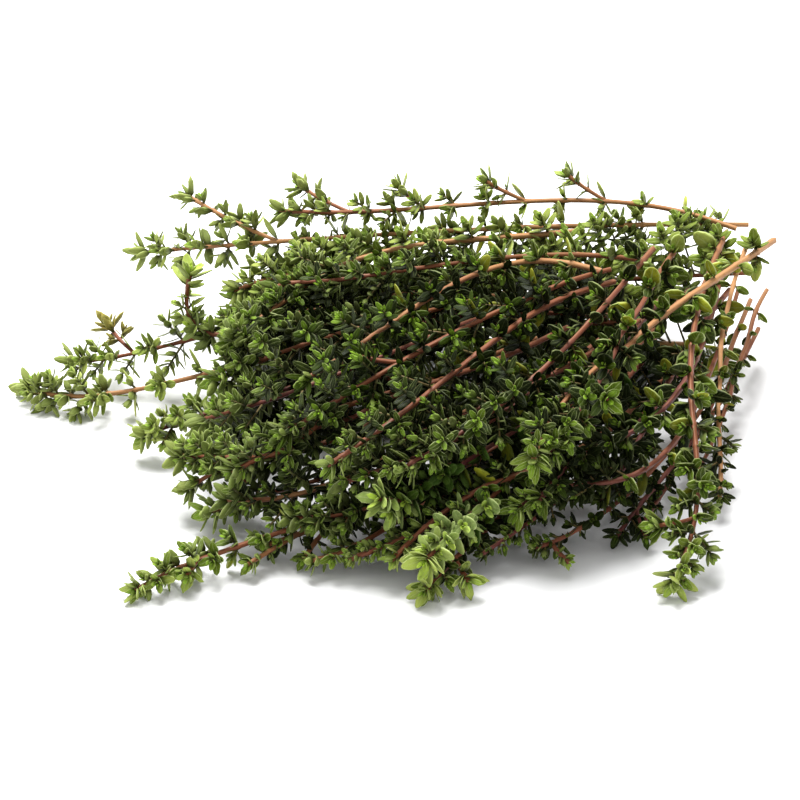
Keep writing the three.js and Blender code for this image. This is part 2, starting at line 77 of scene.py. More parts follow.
SPRIGS = [
    Sprig([(89, 60, 34), (50, 63, 41), (8, 56, 42), (-32, 67, 36)], 0.7,
          shoots=[(0.84, -27, 70, 42), (0.68, -1, 59, 47), (0.47, 22, 60, 48), (0.3, 44, 66, 47)],
          tufts=0.6),
    Sprig([(93, 69, 31), (37, 57, 36), (-16, 57, 33), (-71, 79, 18)], 0.9,
          shoots=[(0.76, -58, 84, 33)], tufts=0.75),
    Sprig([(46, 52, 37), (14, 42, 39), (-15, 32, 37), (-42, 0, 30)], 0.9),
    Sprig([(62, 33, 38), (33, 29, 41), (3, 23, 40), (-32, 22, 35)], 0.8),
    Sprig([(51, 22, 40), (25, 19, 43), (2, -5, 42), (-23, -30, 36)], 0.85),
    Sprig([(53, 17, 42), (29, -2, 43), (2, -26, 40), (-28, -48, 31)], 0.85),
    Sprig([(54, 17, 40), (32, -5, 41), (10, -35, 38), (-17, -58, 28)], 0.9),
    Sprig([(65, 35, 40), (47, -8, 41), (27, -38, 36), (0, -58, 27)], 0.95, tufts=0.8),
    Sprig([(73, 43, 38), (61, 7, 39), (48, -32, 37), (34, -56, 30)], 0.85, tufts=0.7),
    Sprig([(98, 51, 35), (73, 10, 39), (46, -28, 37), (31, -62, 31)], 1.0,
          shoots=[(0.86, 41, -58, 31)], tufts=0.7),
    Sprig([(86, 56, 35), (71, -16, 33), (71, -48, 21), (64, -72, 4)], 0.9,
          shoots=[(0.8, 60, -62, 14)], tufts=0.75),
    Sprig([(94, 65, 31), (81, 11, 26), (79, -15, 14), (78, -34, 5.5)], 0.8, tufts=0.4),
    Sprig([(85, 48, 30), (66, -26, 28), (48, -43, 25), (33, -57, 18)], 0.8, tufts=0.6),
    Sprig([(89, 48, 22), (64, -38, 20), (45, -49, 18), (28, -56, 15)], 0.8, tufts=0.9),
    Sprig([(93, 54, 16), (72, -11, 12), (48, -47, 8), (32, -57, 5)], 0.8,
          shoots=[(0.88, 40, -62, 4)], tufts=0.3),
    Sprig([(67, 30, 28), (39, -23, 27), (14, -47, 22), (-2, -59, 16)], 0.8, kind="young", tufts=0.5),
    Sprig([(68, 37, 16), (42, -21, 12), (22, -51, 8), (6, -74, 3.5)], 0.85,
          shoots=[(0.84, 16, -72, 5)], tufts=0.7),
    Sprig([(76, 48, 22), (42, -21, 20), (19, -54, 15), (6, -73, 11)], 0.75, kind="young", tufts=0.5),
    Sprig([(31, 22, 26), (-5, -28, 24), (-31, -37, 19), (-54, -28, 14)], 0.9, shoots=[(0.8, -52, -34, 8)]),
    Sprig([(41, 5, 12), (0, -38, 10), (-36, -58, 7), (-62, -73, 3)], 0.85,
          shoots=[(0.8, -50, -70, 5)], tufts=0.55),
    Sprig([(18, 29, 20), (-13, 10, 18), (-41, 1, 13), (-65, -5, 7)], 0.8),
    Sprig([(26, 46, 20), (-18, 33, 15), (-65, 19, 8), (-97, 28, 3.5)], 0.95,
          shoots=[(0.8, -90, 18, 4)], tufts=0.75),
    Sprig([(18, 44, 24), (-23, 36, 22), (-61, 33, 13), (-86, 34, 8)], 0.85,
          shoots=[(0.78, -77, 44, 14)], kind="bronze", tufts=0.9),
    Sprig([(10, 34, 26), (-20, 27, 23), (-48, 29, 18), (-54, 34, 34)], 0.7, kind="young", tufts=0.5),
    Sprig([(18, 55, 27), (-5, 51, 27), (-26, 54, 24), (-44, 55, 18)], 0.75),
    Sprig([(60, 6, 34), (39, -23, 35), (20, -38, 33), (0, -46, 28)], 0.8),
    Sprig([(57, 18, 8), (25, -14, 8), (0, -47, 7), (-21, -63, 5)], 0.8, tufts=0.42),
    Sprig([(95, 49, 10), (82, 13, 8), (70, -16, 6), (58, -44, 3)], 0.8, tufts=0.32),
    Sprig([(34, 4, 30), (7, -22, 32), (-17, -39, 30), (-40, -47, 20)], 0.85),
    Sprig([(40, 2, 22), (12, -28, 24), (-14, -47, 18), (-42, -46, 12)], 0.8),
    Sprig([(50, -1, 18), (22, -36, 20), (-2, -53, 16), (-26, -54, 11)], 0.8, kind="inner", tufts=0.6),
    Sprig([(24, 24, 32), (-3, 8, 33), (-25, 0, 30), (-46, -6, 23)], 0.8, tufts=1.4),
    Sprig([(26, 24, 28), (0, -2, 30), (-25, -18, 27), (-49, -15, 17)], 0.8, tufts=1.15),
    Sprig([(64, 17, 20), (39, -27, 18), (14, -53, 13), (-12, -64, 6)], 0.8, kind="inner", tufts=0.3),
    Sprig([(74, 19, 16), (54, -22, 15), (38, -46, 12), (19, -62, 6)], 0.8, kind="inner", tufts=0.32),
    Sprig([(50, 3, 30), (26, -34, 30), (7, -51, 28), (-15, -55, 21)], 0.8),
    Sprig([(42, 6, 32), (17, -19, 33), (-5, -33, 32), (-30, -45, 26)], 0.8),
    Sprig([(60, -10, 20), (38, -41, 20), (19, -52, 18), (-2, -68, 8)], 0.8, tufts=0.45),
    Sprig([(86, 40, 26), (70, 0, 26), (58, -31, 20), (48, -46, 12)], 0.8, tufts=0.75),
    Sprig([(97, 52, 20), (88, 29, 14), (82, 5, 9), (74, -19, 5)], 0.75, tufts=0.3),
    Sprig([(20, -20, 18), (-4, -29, 13), (-27, -35, 9), (-47, -42, 6)], 0.7, tufts=0.8),
    Sprig([(32, -15, 14), (10, -32, 10), (-12, -45, 7), (-32, -55, 5)], 0.75,
          shoots=[(0.74, -23, -59, 3), (0.86, -36, -63, 4)], tufts=0.45),
    Sprig([(82, 14, 10), (72, -13, 9), (61, -34, 7), (52, -50, 4)], 0.75,
          shoots=[(0.8, 59, -50, 4)], tufts=0.45),
    Sprig([(92, 58, 22), (42, 52, 22), (2, 50, 20), (-34, 60, 12)], 0.8, kind="inner", tufts=1.9),
    Sprig([(84, 60, 10), (38, 56, 11), (-2, 48, 11), (-40, 52, 6)], 0.8, kind="inner", tufts=1.9),
    Sprig([(66, 44, 15), (28, 38, 17), (-8, 36, 18), (-42, 44, 10)], 0.8, kind="inner", tufts=1.3),
    Sprig([(58, 32, 22), (24, 28, 25), (-8, 22, 25), (-36, 26, 19)], 0.8, kind="inner", tufts=1.8),
    Sprig([(50, 24, 12), (14, 16, 14), (-20, 12, 12), (-50, 6, 5)], 0.8, kind="inner", tufts=1.25),
    Sprig([(63, 43, 0.5), (26, 23, 0.5), (-5, 9, 0.5), (-36, 4, 2.6)], 0.9, kind="lying", tufts=1.1),
    Sprig([(89, 52, 0.5), (57, 26, 0.5), (25, -12, 0.5), (0, -52, 2.6)], 0.9, kind="lying", tufts=0.6),
    Sprig([(80, 58, 0.5), (36, 60, 0.5), (-4, 62, 0.5), (-44, 66, 2.6)], 0.9, kind="lying", tufts=1.7),
]

# Stems, as the solids have them. A side shoot that chance adds grows from one of the pairs in
# SHOOT_PAIRS. Its reach is SHORTEST_SHOOT to SHOOT_GROWTH more, of which it goes SHOOT_OUT out from the
# stem and SHOOT_ON along it. It bends at SHOOT_KNEE of its reach, moved on by SHOOT_BEND of it.
TIP_RADIUS = 0.6
SHOOT_RADIUS = 0.6
SHOOT_CHANCE = 0.12
SHOOT_PAIRS = (3, 10)
SHORTEST_SHOOT = 9
SHOOT_GROWTH = 8
SHOOT_OUT = 0.65
SHOOT_ON = 0.75
SHOOT_KNEE = 0.4
SHOOT_BEND = 0.08
SHOOT_ROLL_AT = 0.3
SAME_SPOT = 0.05
SAMPLES = 48
SHOOT_SAMPLES = 12
WANDER = 0.5

# How the sprigs settle: stems closer than this are eased apart until the heap lies free of crossings.
SETTLED_GAP = 3.5
SETTLING_ROUNDS = 80
STIFFNESS = 0.1
FLOOR_LIFT = 0.5
HEAP_MIDDLE = np.array([-0.3, 5, 0])

# Where the leaf pairs stand along a stem, counted back from its tip. The first LEAFY_PAIRS of them
# stand close together.
FIRST_PAIR = 1.6
TIP_GAP = 2.2
GAP_GROWTH = 0.75
WIDEST_GAP = 11
MOST_PAIRS = 60
BARE_FOOT = 6
BARE_SHOOT = 5.2
NODE_LENGTH = 1.5
LEAFY_PAIRS = 8

# What tells one use of chance from another. The last four are added to a twig's own key, which is
# STEM_KEY on a stem and one of SHOOT_KEYS on each of its side shoots.
ROLL_KEY = 5
VIGOUR_KEY = 7
SHOOT_KEY = 11
SHOOT_TURN_KEY = 12
SHOOT_REACH_KEY = 13
GOLD_KEY = 41
BARK_KEY = 1111
BREADTH_KEY = 3046
STEM_KEY = 1
SHOOT_KEYS = range(20, 200, 10)
LEAF_KEY = 1
TINT_KEY = 3
TUFT_BLADE_KEY = 4
TUFT_REACH_KEY = 5


# --- Lines and places on them -------------------------------------------------------------------


def chance(s, n, k):
    """A repeatable number from 0 to 1 for sprig s, place n and use k: what is left after the point of
    a large multiple of the sine of the three."""
    wave = np.sin(s * 12.9898 + n * 78.233 + k * 37.719) * 43758.5453
    return wave - np.floor(wave)


def unit(vectors):
    """Each vector over its length."""
    return vectors / np.linalg.norm(vectors, axis=-1, keepdims=True)


class Places:
    """Places to grow from: a point each, and which way is along, across and up there."""

    def __init__(self, point, along, across):
        self.point, self.along, self.across = point, along, across
        self.up = np.cross(along, across)

    def out(self, roll):
        """The way out from the line, turned round it by roll: across times its cosine plus up times its
        sine."""
        roll = np.asarray(roll)[..., None]
        return self.across * np.cos(roll) + self.up * np.sin(roll)

    def leaned(self, roll, pitch):
        """The way that leans from along by pitch, towards the way out at roll."""
        pitch = np.asarray(pitch)[..., None]
        return self.along * np.cos(pitch) + self.out(roll) * np.sin(pitch)

    def each(self, index):
        """The same places picked or reshaped by an index, as an array is."""
        return Places(self.point[index], self.along[index], self.across[index])

    def moved(self, distance):
        """Places that lie a distance along from these, and face as they do."""
        return Places(self.point + self.along * distance[..., None], self.along, self.across)


class Line:
    """A line through points that are evenly shared along it. Across is square to a pole that the line
    never runs along."""

    def __init__(self, points, pole=UP):
        self.points, self.pole = points, pole
        steps = np.diff(points, axis=0)
        self.length = np.linalg.norm(steps, axis=1).sum()
        ways = unit(steps)
        self.ways = unit(np.concatenate([ways[:1], ways[:-1] + ways[1:], ways[-1:]]))

    def at(self, share):
        """The places at shares of the way along, worked out straight between the points."""
        last = len(self.points) - 1
        spot = np.clip(share, 0, 1) * last
        i = np.minimum(spot.astype(int), last - 1)
        part = (spot - i)[..., None]
        point = self.points[i] * (1 - part) + self.points[i + 1] * part
        along = unit(self.ways[i] * (1 - part) + self.ways[i + 1] * part)
        return Places(point, along, unit(np.cross(self.pole, along)))


def settled_lines():
    """The stems' sample points. Each stem starts on the cubic through its four points at 0, 1/3, 2/3
    and 1. In each round, points of different stems closer than SETTLED_GAP push each other apart by
    half of what they lack, each point takes half of its own mean push and a quarter of each
    neighbour's, eases towards the middle of its neighbours, and stays above the floor."""
    knots = np.arange(4) / 3
    shares = np.linspace(0, 1, SAMPLES + 1)[:, None]
    weights = [np.prod([(shares - b) / (a - b) for b in knots if b != a], axis=0) for a in knots]
    lines = np.hstack(weights) @ np.array([sprig.route for sprig in SPRIGS], float)
    owner = np.repeat(np.arange(len(SPRIGS)), SAMPLES + 1)
    strangers = owner[:, None] != owner
    for _ in range(SETTLING_ROUNDS):
        flat = lines.reshape(-1, 3)
        size = (flat**2).sum(1)
        apart_squared = size[:, None] + size - 2 * flat @ flat.T
        one, other = np.nonzero((apart_squared < SETTLED_GAP**2) & strangers)
        gap = flat[one] - flat[other]
        apart = np.linalg.norm(gap, axis=1)
        push = gap * ((SETTLED_GAP - apart) / (2 * apart))[:, None]
        total = np.stack([np.bincount(one, push[:, k], len(flat)) for k in range(3)], 1)
        count = np.maximum(np.bincount(one, minlength=len(flat)), 1)
        mean = (total / count[:, None]).reshape(lines.shape)
        padded = np.pad(mean, ((0, 0), (1, 1), (0, 0)), "edge")
        lines = lines + mean / 2 + (padded[:, :-2] + padded[:, 2:]) / 4
        middle = (lines[:, :-2] + lines[:, 2:]) / 2
        lines[:, 1:-1] += (middle - lines[:, 1:-1]) * STIFFNESS
        lines[..., 2] = np.maximum(lines[..., 2], FLOOR_LIFT)
    return lines - HEAP_MIDDLE


def pair_places(length, bare):
    """How far back from the tip each leaf pair stands, nearest the tip first: the gaps grow by
    GAP_GROWTH each time up to WIDEST_GAP, and the foot stays bare."""
    gaps = np.minimum(TIP_GAP + GAP_GROWTH * np.arange(MOST_PAIRS), WIDEST_GAP)
    places = FIRST_PAIR + np.concatenate([[0], np.cumsum(gaps)])
    return places[places < length - bare]


class Twig:
    """A stem or a side shoot of sprig s: its line, its radius at foot and tip, its base roll and how far
    that wanders, and the key of its chances. Its leaf pairs stand back from its tip, each with its turn
    and with the side that carries a shoot, or -1."""

    def __init__(self, s, line, foot, tip, bare, roll, wander, key):
        self.s, self.line, self.foot, self.tip = s, line, foot, tip
        self.roll, self.key = roll, key
        self.back = pair_places(line.length, bare)
        self.pair = np.arange(len(self.back))
        self.share = 1 - self.back / line.length
        self.turn = roll + wander * (chance(s, self.pair, key) - 0.5)
        self.shoot_side = np.full(len(self.back), -1)

    def radius(self, share):
        """The radius at a share of the way along, from foot to tip."""
        return self.foot + (self.tip - self.foot) * share

    def turned(self, share):
        """How far the ring at a share of the way along is turned: as at the nearest pairs, or by the base
        roll if there are none."""
        if not len(self.back):
            return np.full(np.shape(share), self.roll)
        return np.interp(share, self.share[::-1], self.turn[::-1])

    def from_node(self, share):
        """How far the rings at shares of the way along are from the nearest node."""
        return np.abs(share[:, None] - self.share).min(1, initial=1.0) * self.line.length

    def corner(self, n, k, step):
        """Corner k of the ring at leaf pair n, half a node's length below or above it by step."""
        share = self.share[n] + step * NODE_LENGTH / 2 / self.line.length
        place = self.line.at(share)
        return place.point + place.out(self.turn[n] + k * QUARTER) * self.radius(self.share[n])


def solid_points(s):
    """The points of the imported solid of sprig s, in millimetres."""
    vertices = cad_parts[node_name(s)].data.vertices
    points = np.empty(len(vertices) * 3, np.float32)
    vertices.foreach_get("co", points)
    return points.reshape(-1, 3) / MM


def node_name(s):
    """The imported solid's name, which counts from 1."""
    return f"sprig_{s + 1:02d}"


def is_inside(s):
    """Whether a sprig lies inside the heap or underneath it."""
    return SPRIGS[s].kind in ("inner", "lying")


def grown_stem(s, points):
    """The stem of sprig s along its settled points. A lying one has a flat side down all the way."""
    lying = SPRIGS[s].kind == "lying"
    roll = QUARTER / 2 if lying else chance(s, 0, ROLL_KEY) * QUARTER
    sizes = (SPRIGS[s].radius, TIP_RADIUS, BARE_FOOT)
    return Twig(s, Line(points), *sizes, roll, 0 if lying else WANDER, STEM_KEY)


def shoot_tips(stem):
    """Leaf pair and tip of each side shoot that a stem may have: those that its sprig names, at the pair
    nearest to each share, and some that chance adds in its leafy half."""
    s, line = stem.s, stem.line
    for share, *tip in SPRIGS[s].shoots:
        n = int(np.abs(stem.back - (1 - share) * line.length).argmin())
        yield n, np.array(tip) - HEAP_MIDDLE
    if is_inside(s):
        return
    first, end = SHOOT_PAIRS
    for n in range(first, min(end, len(stem.back))):
        if (n < LEAFY_PAIRS or n % 2 == 0) and chance(s, n, SHOOT_KEY) <= SHOOT_CHANCE:
            place = line.at(stem.share[n])
            reach = SHORTEST_SHOOT + SHOOT_GROWTH * chance(s, n, SHOOT_REACH_KEY)
            out = place.out(chance(s, n, SHOOT_TURN_KEY) * np.pi)
            yield n, place.point + out * reach * SHOOT_OUT + place.along * reach * SHOOT_ON


def grown_shoots(stem):
    """The side shoots of a stem, each at a leaf pair of its own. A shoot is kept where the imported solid
    has its tip. Its line is (1-t)^2 foot + 2t(1-t) bend + t^2 tip, and its roll is lined up with the
    side of the stem that faces its tip."""
    shoots, solid = [], solid_points(stem.s)
    for (n, tip), key in zip(shoot_tips(stem), SHOOT_KEYS):
        if stem.shoot_side[n] >= 0 or np.linalg.norm(solid - tip, axis=1).min() > SAME_SPOT:
            continue
        place = stem.line.at(stem.share[n])
        reach = tip - place.point
        facing = np.arctan2(reach @ place.up, reach @ place.across) - stem.roll
        side = int(facing // QUARTER) % 4
        bend = place.point + reach * SHOOT_KNEE + place.along * np.linalg.norm(reach) * SHOOT_BEND
        t = np.linspace(0, 1, SHOOT_SAMPLES + 1)[:, None]
        points = (1 - t) ** 2 * place.point + 2 * t * (1 - t) * bend + t**2 * tip
        line = Line(points, np.cross(np.cross(place.along, reach), reach))
        ring = [stem.corner(n, side + j, step) for step in (-1, 1) for j in (0, 1)]
        corner = ring[0] - np.mean(ring, axis=0)
        start = line.at(np.array(SHOOT_ROLL_AT))
        roll = np.arctan2(corner @ start.up, corner @ start.across)
        shoots.append(Twig(stem.s, line, SHOOT_RADIUS, SHOOT_RADIUS, BARE_SHOOT, roll, 0, key))
        stem.shoot_side[n] = side
    return shoots


# --- Meshes --------------------------------------------------------------------------------------


def new_piece(name, points, faces, material):
    """A smooth mesh object at the origin, from points in millimetres and a list of arrays of faces, each
    with one number of corners."""
    corners = np.concatenate([f.ravel() for f in faces])
    sizes = np.concatenate([np.full(len(f), f.shape[1]) for f in faces])
    mesh = bpy.data.meshes.new(name)
    mesh.vertices.add(len(points))
    mesh.vertices.foreach_set("co", (points * MM).astype(np.float32).ravel())
    mesh.loops.add(len(corners))
    mesh.loops.foreach_set("vertex_index", corners.astype(np.int32))
    mesh.polygons.add(len(sizes))
    mesh.polygons.foreach_set("loop_start", (np.cumsum(sizes) - sizes).astype(np.int32))
    mesh.update(calc_edges=True)
    mesh.shade_smooth()
    mesh.materials.append(material)
    piece = bpy.data.objects.new(name, mesh)
    bpy.context.scene.collection.objects.link(piece)
    return piece


def add_uv(piece, name, corners):
    """A UV map from one pair of numbers for each face corner."""
    layer = piece.data.uv_layers.new(name=name)
    layer.data.foreach_set("uv", corners.astype(np.float32).ravel())


def add_value(piece, name, values):
    """A number, or a vector of three, kept at each point of a piece."""
    vector = np.ndim(values) == 2
    kind, field = ("FLOAT_VECTOR", "vector") if vector else ("FLOAT", "value")
    attribute = piece.data.attributes.new(name, kind, "POINT")
    attribute.data.foreach_set(field, np.asarray(values, np.float32).ravel())


class Skin:
    """The faces of a closed skin of rings with a pole at each end. Point j of ring i is number
    i * around + j, and the two poles follow. Quads join the rings, triangles close the ends, and each
    corner knows how many steps round (0 to around) and along (0 at the first pole) it is."""

    def __init__(self, rings, around):
        self.points = rings * around + 2
        i, j = (v.ravel() for v in np.indices((rings - 1, around)))
        ahead = (j + 1) % around
        low, high = i * around, (i + 1) * around
        self.quads = np.stack([low + j, low + ahead, high + ahead, high + j], 1)
        k = np.arange(around)
        ahead = (k + 1) % around
        first, top = np.full(around, rings * around), (rings - 1) * around
        self.triangles = np.concatenate(
            [np.stack([first, ahead, k], 1), np.stack([first + 1, top + k, top + ahead], 1)]
        )
        zero = 0 * k
        self.quad_steps = self.steps([j, j + 1, j + 1, j], [i + 1, i + 1, i + 2, i + 2])
        self.triangle_steps = np.concatenate([
            self.steps([k + 0.5, k + 1, k], [zero, zero + 1, zero + 1]),
            self.steps([k + 0.5, k, k + 1], [zero + rings + 1, zero + rings, zero + rings]),
        ])

    @staticmethod
    def steps(turned, along):
        """For each face and corner, the steps round and along."""
        return np.stack([np.stack(turned, 1), np.stack(along, 1)], -1).astype(float)

    def copies(self, count, start):
        """The faces of several like skins whose points follow each other from start, and the steps of
        one skin's corners: the quads first, and then the triangles."""
        shift = start + np.arange(count)[:, None, None] * self.points
        yield (self.quads + shift).reshape(-1, 4), self.quad_steps
        yield (self.triangles + shift).reshape(-1, 3), self.triangle_steps


# --- Leaves --------------------------------------------------------------------------------------


class Form:
    """How a leaf is made: its rings' shares of its length, the points round a ring, the share of its
    length that is stalk, and how pointed it is."""

    def __init__(self, stations, around, stalk, pointed):
        self.stations, self.around = np.array(stations), around
        self.stalk, self.pointed = stalk, pointed
        self.skin = Skin(len(stations), around)


FORMS = {
    "full": Form([0.1, 0.24, 0.45, 0.72, 0.92], 8, 0.12, 0.54),
    "half": Form([0.1, 0.36, 0.68, 0.92], 6, 0.05, 0.56),
    "small": Form([0.1, 0.5, 0.86], 6, 0.0, 0.5),
    "bud": Form([0.2, 0.7], 6, 0.0, 0.62),
}
STALK_WIDTH = 0.2
OVATE = 0.85
FINEST_BLADE = 0.12
THIN_EDGE = 0.35
LEAST_TURN = 1e-4
LOWEST_POINT = 0.02
CELL_MARGIN = 0.05

# How much leaves differ from each other, how far one may fall, and the shortest that is kept.
ROLL_SPREAD = 0.13
PITCH_SPREAD = 0.11
BEND_SPREAD = 0.15
TWIST_SPREAD = 0.16
STEEPEST_FALL = 0.55
STEEPEST_RISE = 0.999
FLOOR_RISE = 0.03
LEAST_LEVEL = 1e-6
SHORTEST_LEAF = 0.3

# Painted light and shade: leaves and bark are paler towards the edges of the heap, where more light
# reaches them, and leaves darker over its middle, where shade falls. Painted shade makes leaves darker by
# SHADED_TINT and less fresh by SHADED_FRESHNESS.
DARKEST_SPOT = (18, -17)
HEAP_SIDE = 80
HEAP_FRONT = 64
HEAP_BACK = 56
LIGHT_AND_SHADE_STEPS = (0.15, 0.65, 1)
EDGE_PAINTED_LIGHT = 2.0
MIDDLE_PAINTED_SHADE = 0.9
SHADED_TINT = 0.4
SHADED_FRESHNESS = 0.8

# Leaves are darker, and less fresh, the more stems lie between them and the light.
TO_LIGHT = np.array([-0.45, -0.25, 0.857])
COVER_START = 4
COVER_REACH = 7
COVER_DARKENING = 1.05
COVER_FADING = 0.7
FULL_COVER = 24

# A leaf that a stem would cross at the last two of these shares of its length is shortened, and at the
# first of them it is left out.
CHECKED = np.array([0.35, 0.7, 1.0])[:, None]
SHORTENED = 0.62


def outwardness(points):
    """How far out in the heap points lie: 0 over its darkest spot and 1 at its edges."""
    across, back = points[..., 0] - DARKEST_SPOT[0], points[..., 1] - DARKEST_SPOT[1]
    return np.maximum(np.abs(across) / HEAP_SIDE, np.maximum(back / HEAP_BACK, -back / HEAP_FRONT))


def clear_of_floor(point, way, length):
    """The ways of leaves that grow from points, those whose tips would dip into the floor lifted to it,
    and which leaves are kept: those that are long enough and don't point too far down."""
    lowest = -point[..., 2] / np.maximum(length, 1)
    kept = (way[..., 2] > lowest - STEEPEST_FALL) & (length > SHORTEST_LEAF)
    rise = np.clip(way[..., 2], lowest + FLOOR_RISE, STEEPEST_RISE)
    level = np.sqrt(1 - rise**2) / np.maximum(np.linalg.norm(way[..., :2], axis=-1), LEAST_LEVEL)
    return unit(np.concatenate([way[..., :2] * level[..., None], rise[..., None]], -1)), kept


class Leaves:
    """The leaves of a sprig, by form. Each has the point where it starts, the way it grows, the way its
    upper side faces, its length, width, bend and cup, and a tone: how light its green is, with painted
    light and shade in that, how fresh it is, less so in painted shade, and how golden it is."""

    def __init__(self, seed):
        self.random = np.random.default_rng(seed)
        self.rows = {form: [] for form in FORMS}

    def add(self, form, places, roll, pitch, length, width, start=0.0, bend=0.0, cup=0.2, fresh=0.0,
            gold=0.0, shade=0.0):
        """Adds leaves that lean from the places' lines by pitch at roll and start some way out from them.
        Each leaf's turn, pitch, twist, bend and green vary a little, and its green gets painted light
        towards the heap's edges and painted shade over its middle. Shade, from 0 to 1, is painted shade:
        it makes leaves darker, less fresh and less pale at the heap's edges."""
        values = (roll, pitch, length, width, start, bend, cup, fresh, gold)
        shape = np.broadcast_shapes(places.point.shape[:-1], *(np.shape(v) for v in values))
        roll, pitch, length, width, start, bend, cup, fresh, gold = (
            np.broadcast_to(v, shape).astype(float) for v in values
        )
        vary = self.random.normal
        roll = roll + vary(0, ROLL_SPREAD, shape)
        pitch = pitch + vary(0, PITCH_SPREAD, shape)
        bend = bend + vary(0, BEND_SPREAD, shape)
        point = places.point + places.out(roll) * start[..., None]
        way, kept = clear_of_floor(point, places.leaned(roll, pitch), length)
        side = unit(np.cross(places.along, way))
        face = np.cross(way, side)
        twist = vary(0, TWIST_SPREAD, shape)[..., None]
        face = face * np.cos(twist) + side * np.sin(twist)
        # Painted light towards the heap's edges and painted shade over its middle.
        edge_light_and_middle_shade = (-MIDDLE_PAINTED_SHADE, 0, EDGE_PAINTED_LIGHT * (1 - shade))
        tint_light_and_shade = self.random.random(shape) * (1 - shade) - SHADED_TINT * shade
        tint_light_and_shade = tint_light_and_shade + np.interp(outwardness(point), LIGHT_AND_SHADE_STEPS, edge_light_and_middle_shade)
        tone = np.stack([tint_light_and_shade, fresh * (1 - SHADED_FRESHNESS * shade), gold], -1)
        leaf = {"point": point, "way": way, "face": face, "length": length, "width": width}
        leaf |= {"bend": bend, "cup": cup, "tone": tone}
        self.rows[form].append({name: v[kept] for name, v in leaf.items()})

    def joined(self):
        """For each form in use, all its leaves as one array for each of their values."""
        used = {form: rows for form, rows in self.rows.items() if rows}
        return {
            form: {name: np.concatenate([row[name] for row in rows]) for name in rows[0]}
            for form, rows in used.items()
        }

    def darken(self, points):
        """Darkens leaves inside the heap, by how many of the stems' sample points lie between each and the
        light."""
        for form, leaf in self.joined().items():
            middle = leaf["point"] + leaf["way"] * leaf["length"][:, None] / 2
            gap = points - middle[:, None]
            ahead = gap @ TO_LIGHT
            aside_squared = (gap**2).sum(-1) - ahead**2
            count = ((ahead > COVER_START) & (aside_squared < COVER_REACH**2)).sum(1)
            shade = np.clip(count / FULL_COVER, 0, 1)
            leaf["tone"][:, 0] -= shade * COVER_DARKENING
            leaf["tone"][:, 1] *= 1 - COVER_FADING * shade
            self.rows[form] = [leaf]

    def keep_clear(self, points, room):
        """Shortens leaves whose outer part would cross one of the obstacles, given as points and the
        room round each, and leaves out those that would cross one further in."""
        for form, leaf in self.joined().items():
            reach = leaf["way"][:, None] * leaf["length"][:, None, None]
            spots = leaf["point"][:, None] + reach * CHECKED
            near = ((spots[:, :, None] - points) ** 2).sum(-1) < room**2
            crossed = near.any(-1)
            scale = np.where(crossed[:, 1:].any(1), SHORTENED, 1.0)
            leaf["length"] = leaf["length"] * scale
            leaf["width"] = leaf["width"] * np.sqrt(scale)
            kept = ~crossed[:, 0]
            self.rows[form] = [{name: v[kept] for name, v in leaf.items()}]


def blade_points(form, leaf):
    """The points of leaves, as (leaf, point, 3), and how much each point is underneath, from 0 on top to
    1 below. The middle line is an arc that turns by bend over the leaf's length. At share u of it the
    blade is sin(pi v^OVATE)^pointed, where v is the share past the stalk. The half width is half the
    width times the blade, or times STALK_WIDTH where that is more. The thickness is FINEST_BLADE plus
    the leaf settings' share of the width, and goes down to THIN_EDGE of that with the blade. Round the
    ring by the angle a, a point lies cos(a) half widths to the side, and above the middle line by half
    the thickness times sin(a), plus the cup times the half width times (sin(a)^2 - 1/2), less a groove
    of a third of the thickness times sin(a)^6."""
    count = len(leaf["length"])
    length, width, bend, cup = (leaf[k].reshape(-1, 1, 1) for k in ("length", "width", "bend", "cup"))
    u = np.concatenate([form.stations, [0.0, 1.0]])[:, None]
    past = np.clip((u - form.stalk) / (1 - form.stalk), 0, 1)
    blade = np.sin(np.pi * past**OVATE) ** form.pointed
    half = width / 2 * np.maximum(blade, STALK_WIDTH)
    a = np.linspace(0, 2 * np.pi, form.around, endpoint=False)
    thickness = FINEST_BLADE + leaf_settings().thickness * width
    thickness = thickness * (THIN_EDGE + (1 - THIN_EDGE) * blade)
    lift = thickness * (np.sin(a) / 2 - np.sin(a) ** 6 / 3) + cup * half * (np.sin(a) ** 2 - 0.5)
    turn = bend * u
    turn = np.where(np.abs(turn) < LEAST_TURN, LEAST_TURN, turn)
    forward = length * u * np.sin(turn) / turn
    upward = length * u * (1 - np.cos(turn)) / turn
    rings = np.stack([forward - lift * np.sin(turn), upward + lift * np.cos(turn), half * np.cos(a)], -1)
    poles = np.concatenate([forward, upward, 0 * upward], -1)[:, -2:]
    local = np.concatenate([rings[:, :-2].reshape(count, -1, 3), poles], 1)
    axes = np.stack([leaf["way"], leaf["face"], np.cross(leaf["face"], leaf["way"])], 1)
    points = leaf["point"][:, None] + local @ axes
    points[..., 2] = np.maximum(points[..., 2], LOWEST_POINT)
    under = np.tile(0.5 - 0.5 * np.sin(a), len(form.stations))
    return points, np.concatenate([under, [0.5, 0.5]])


def in_cells(corners, first, count, total):
    """The corners of one skin in its unit square, shrunk into a cell of its own for each of count skins
    from number first on, in a square grid for total of them."""
    columns = int(np.ceil(np.sqrt(total)))
    row, column = np.divmod(np.arange(first, first + count), columns)
    cell = np.stack([column, row], -1)[:, None]
    inside = corners * (1 - 2 * CELL_MARGIN) + CELL_MARGIN
    return ((inside + cell) / columns).reshape(-1, 2)


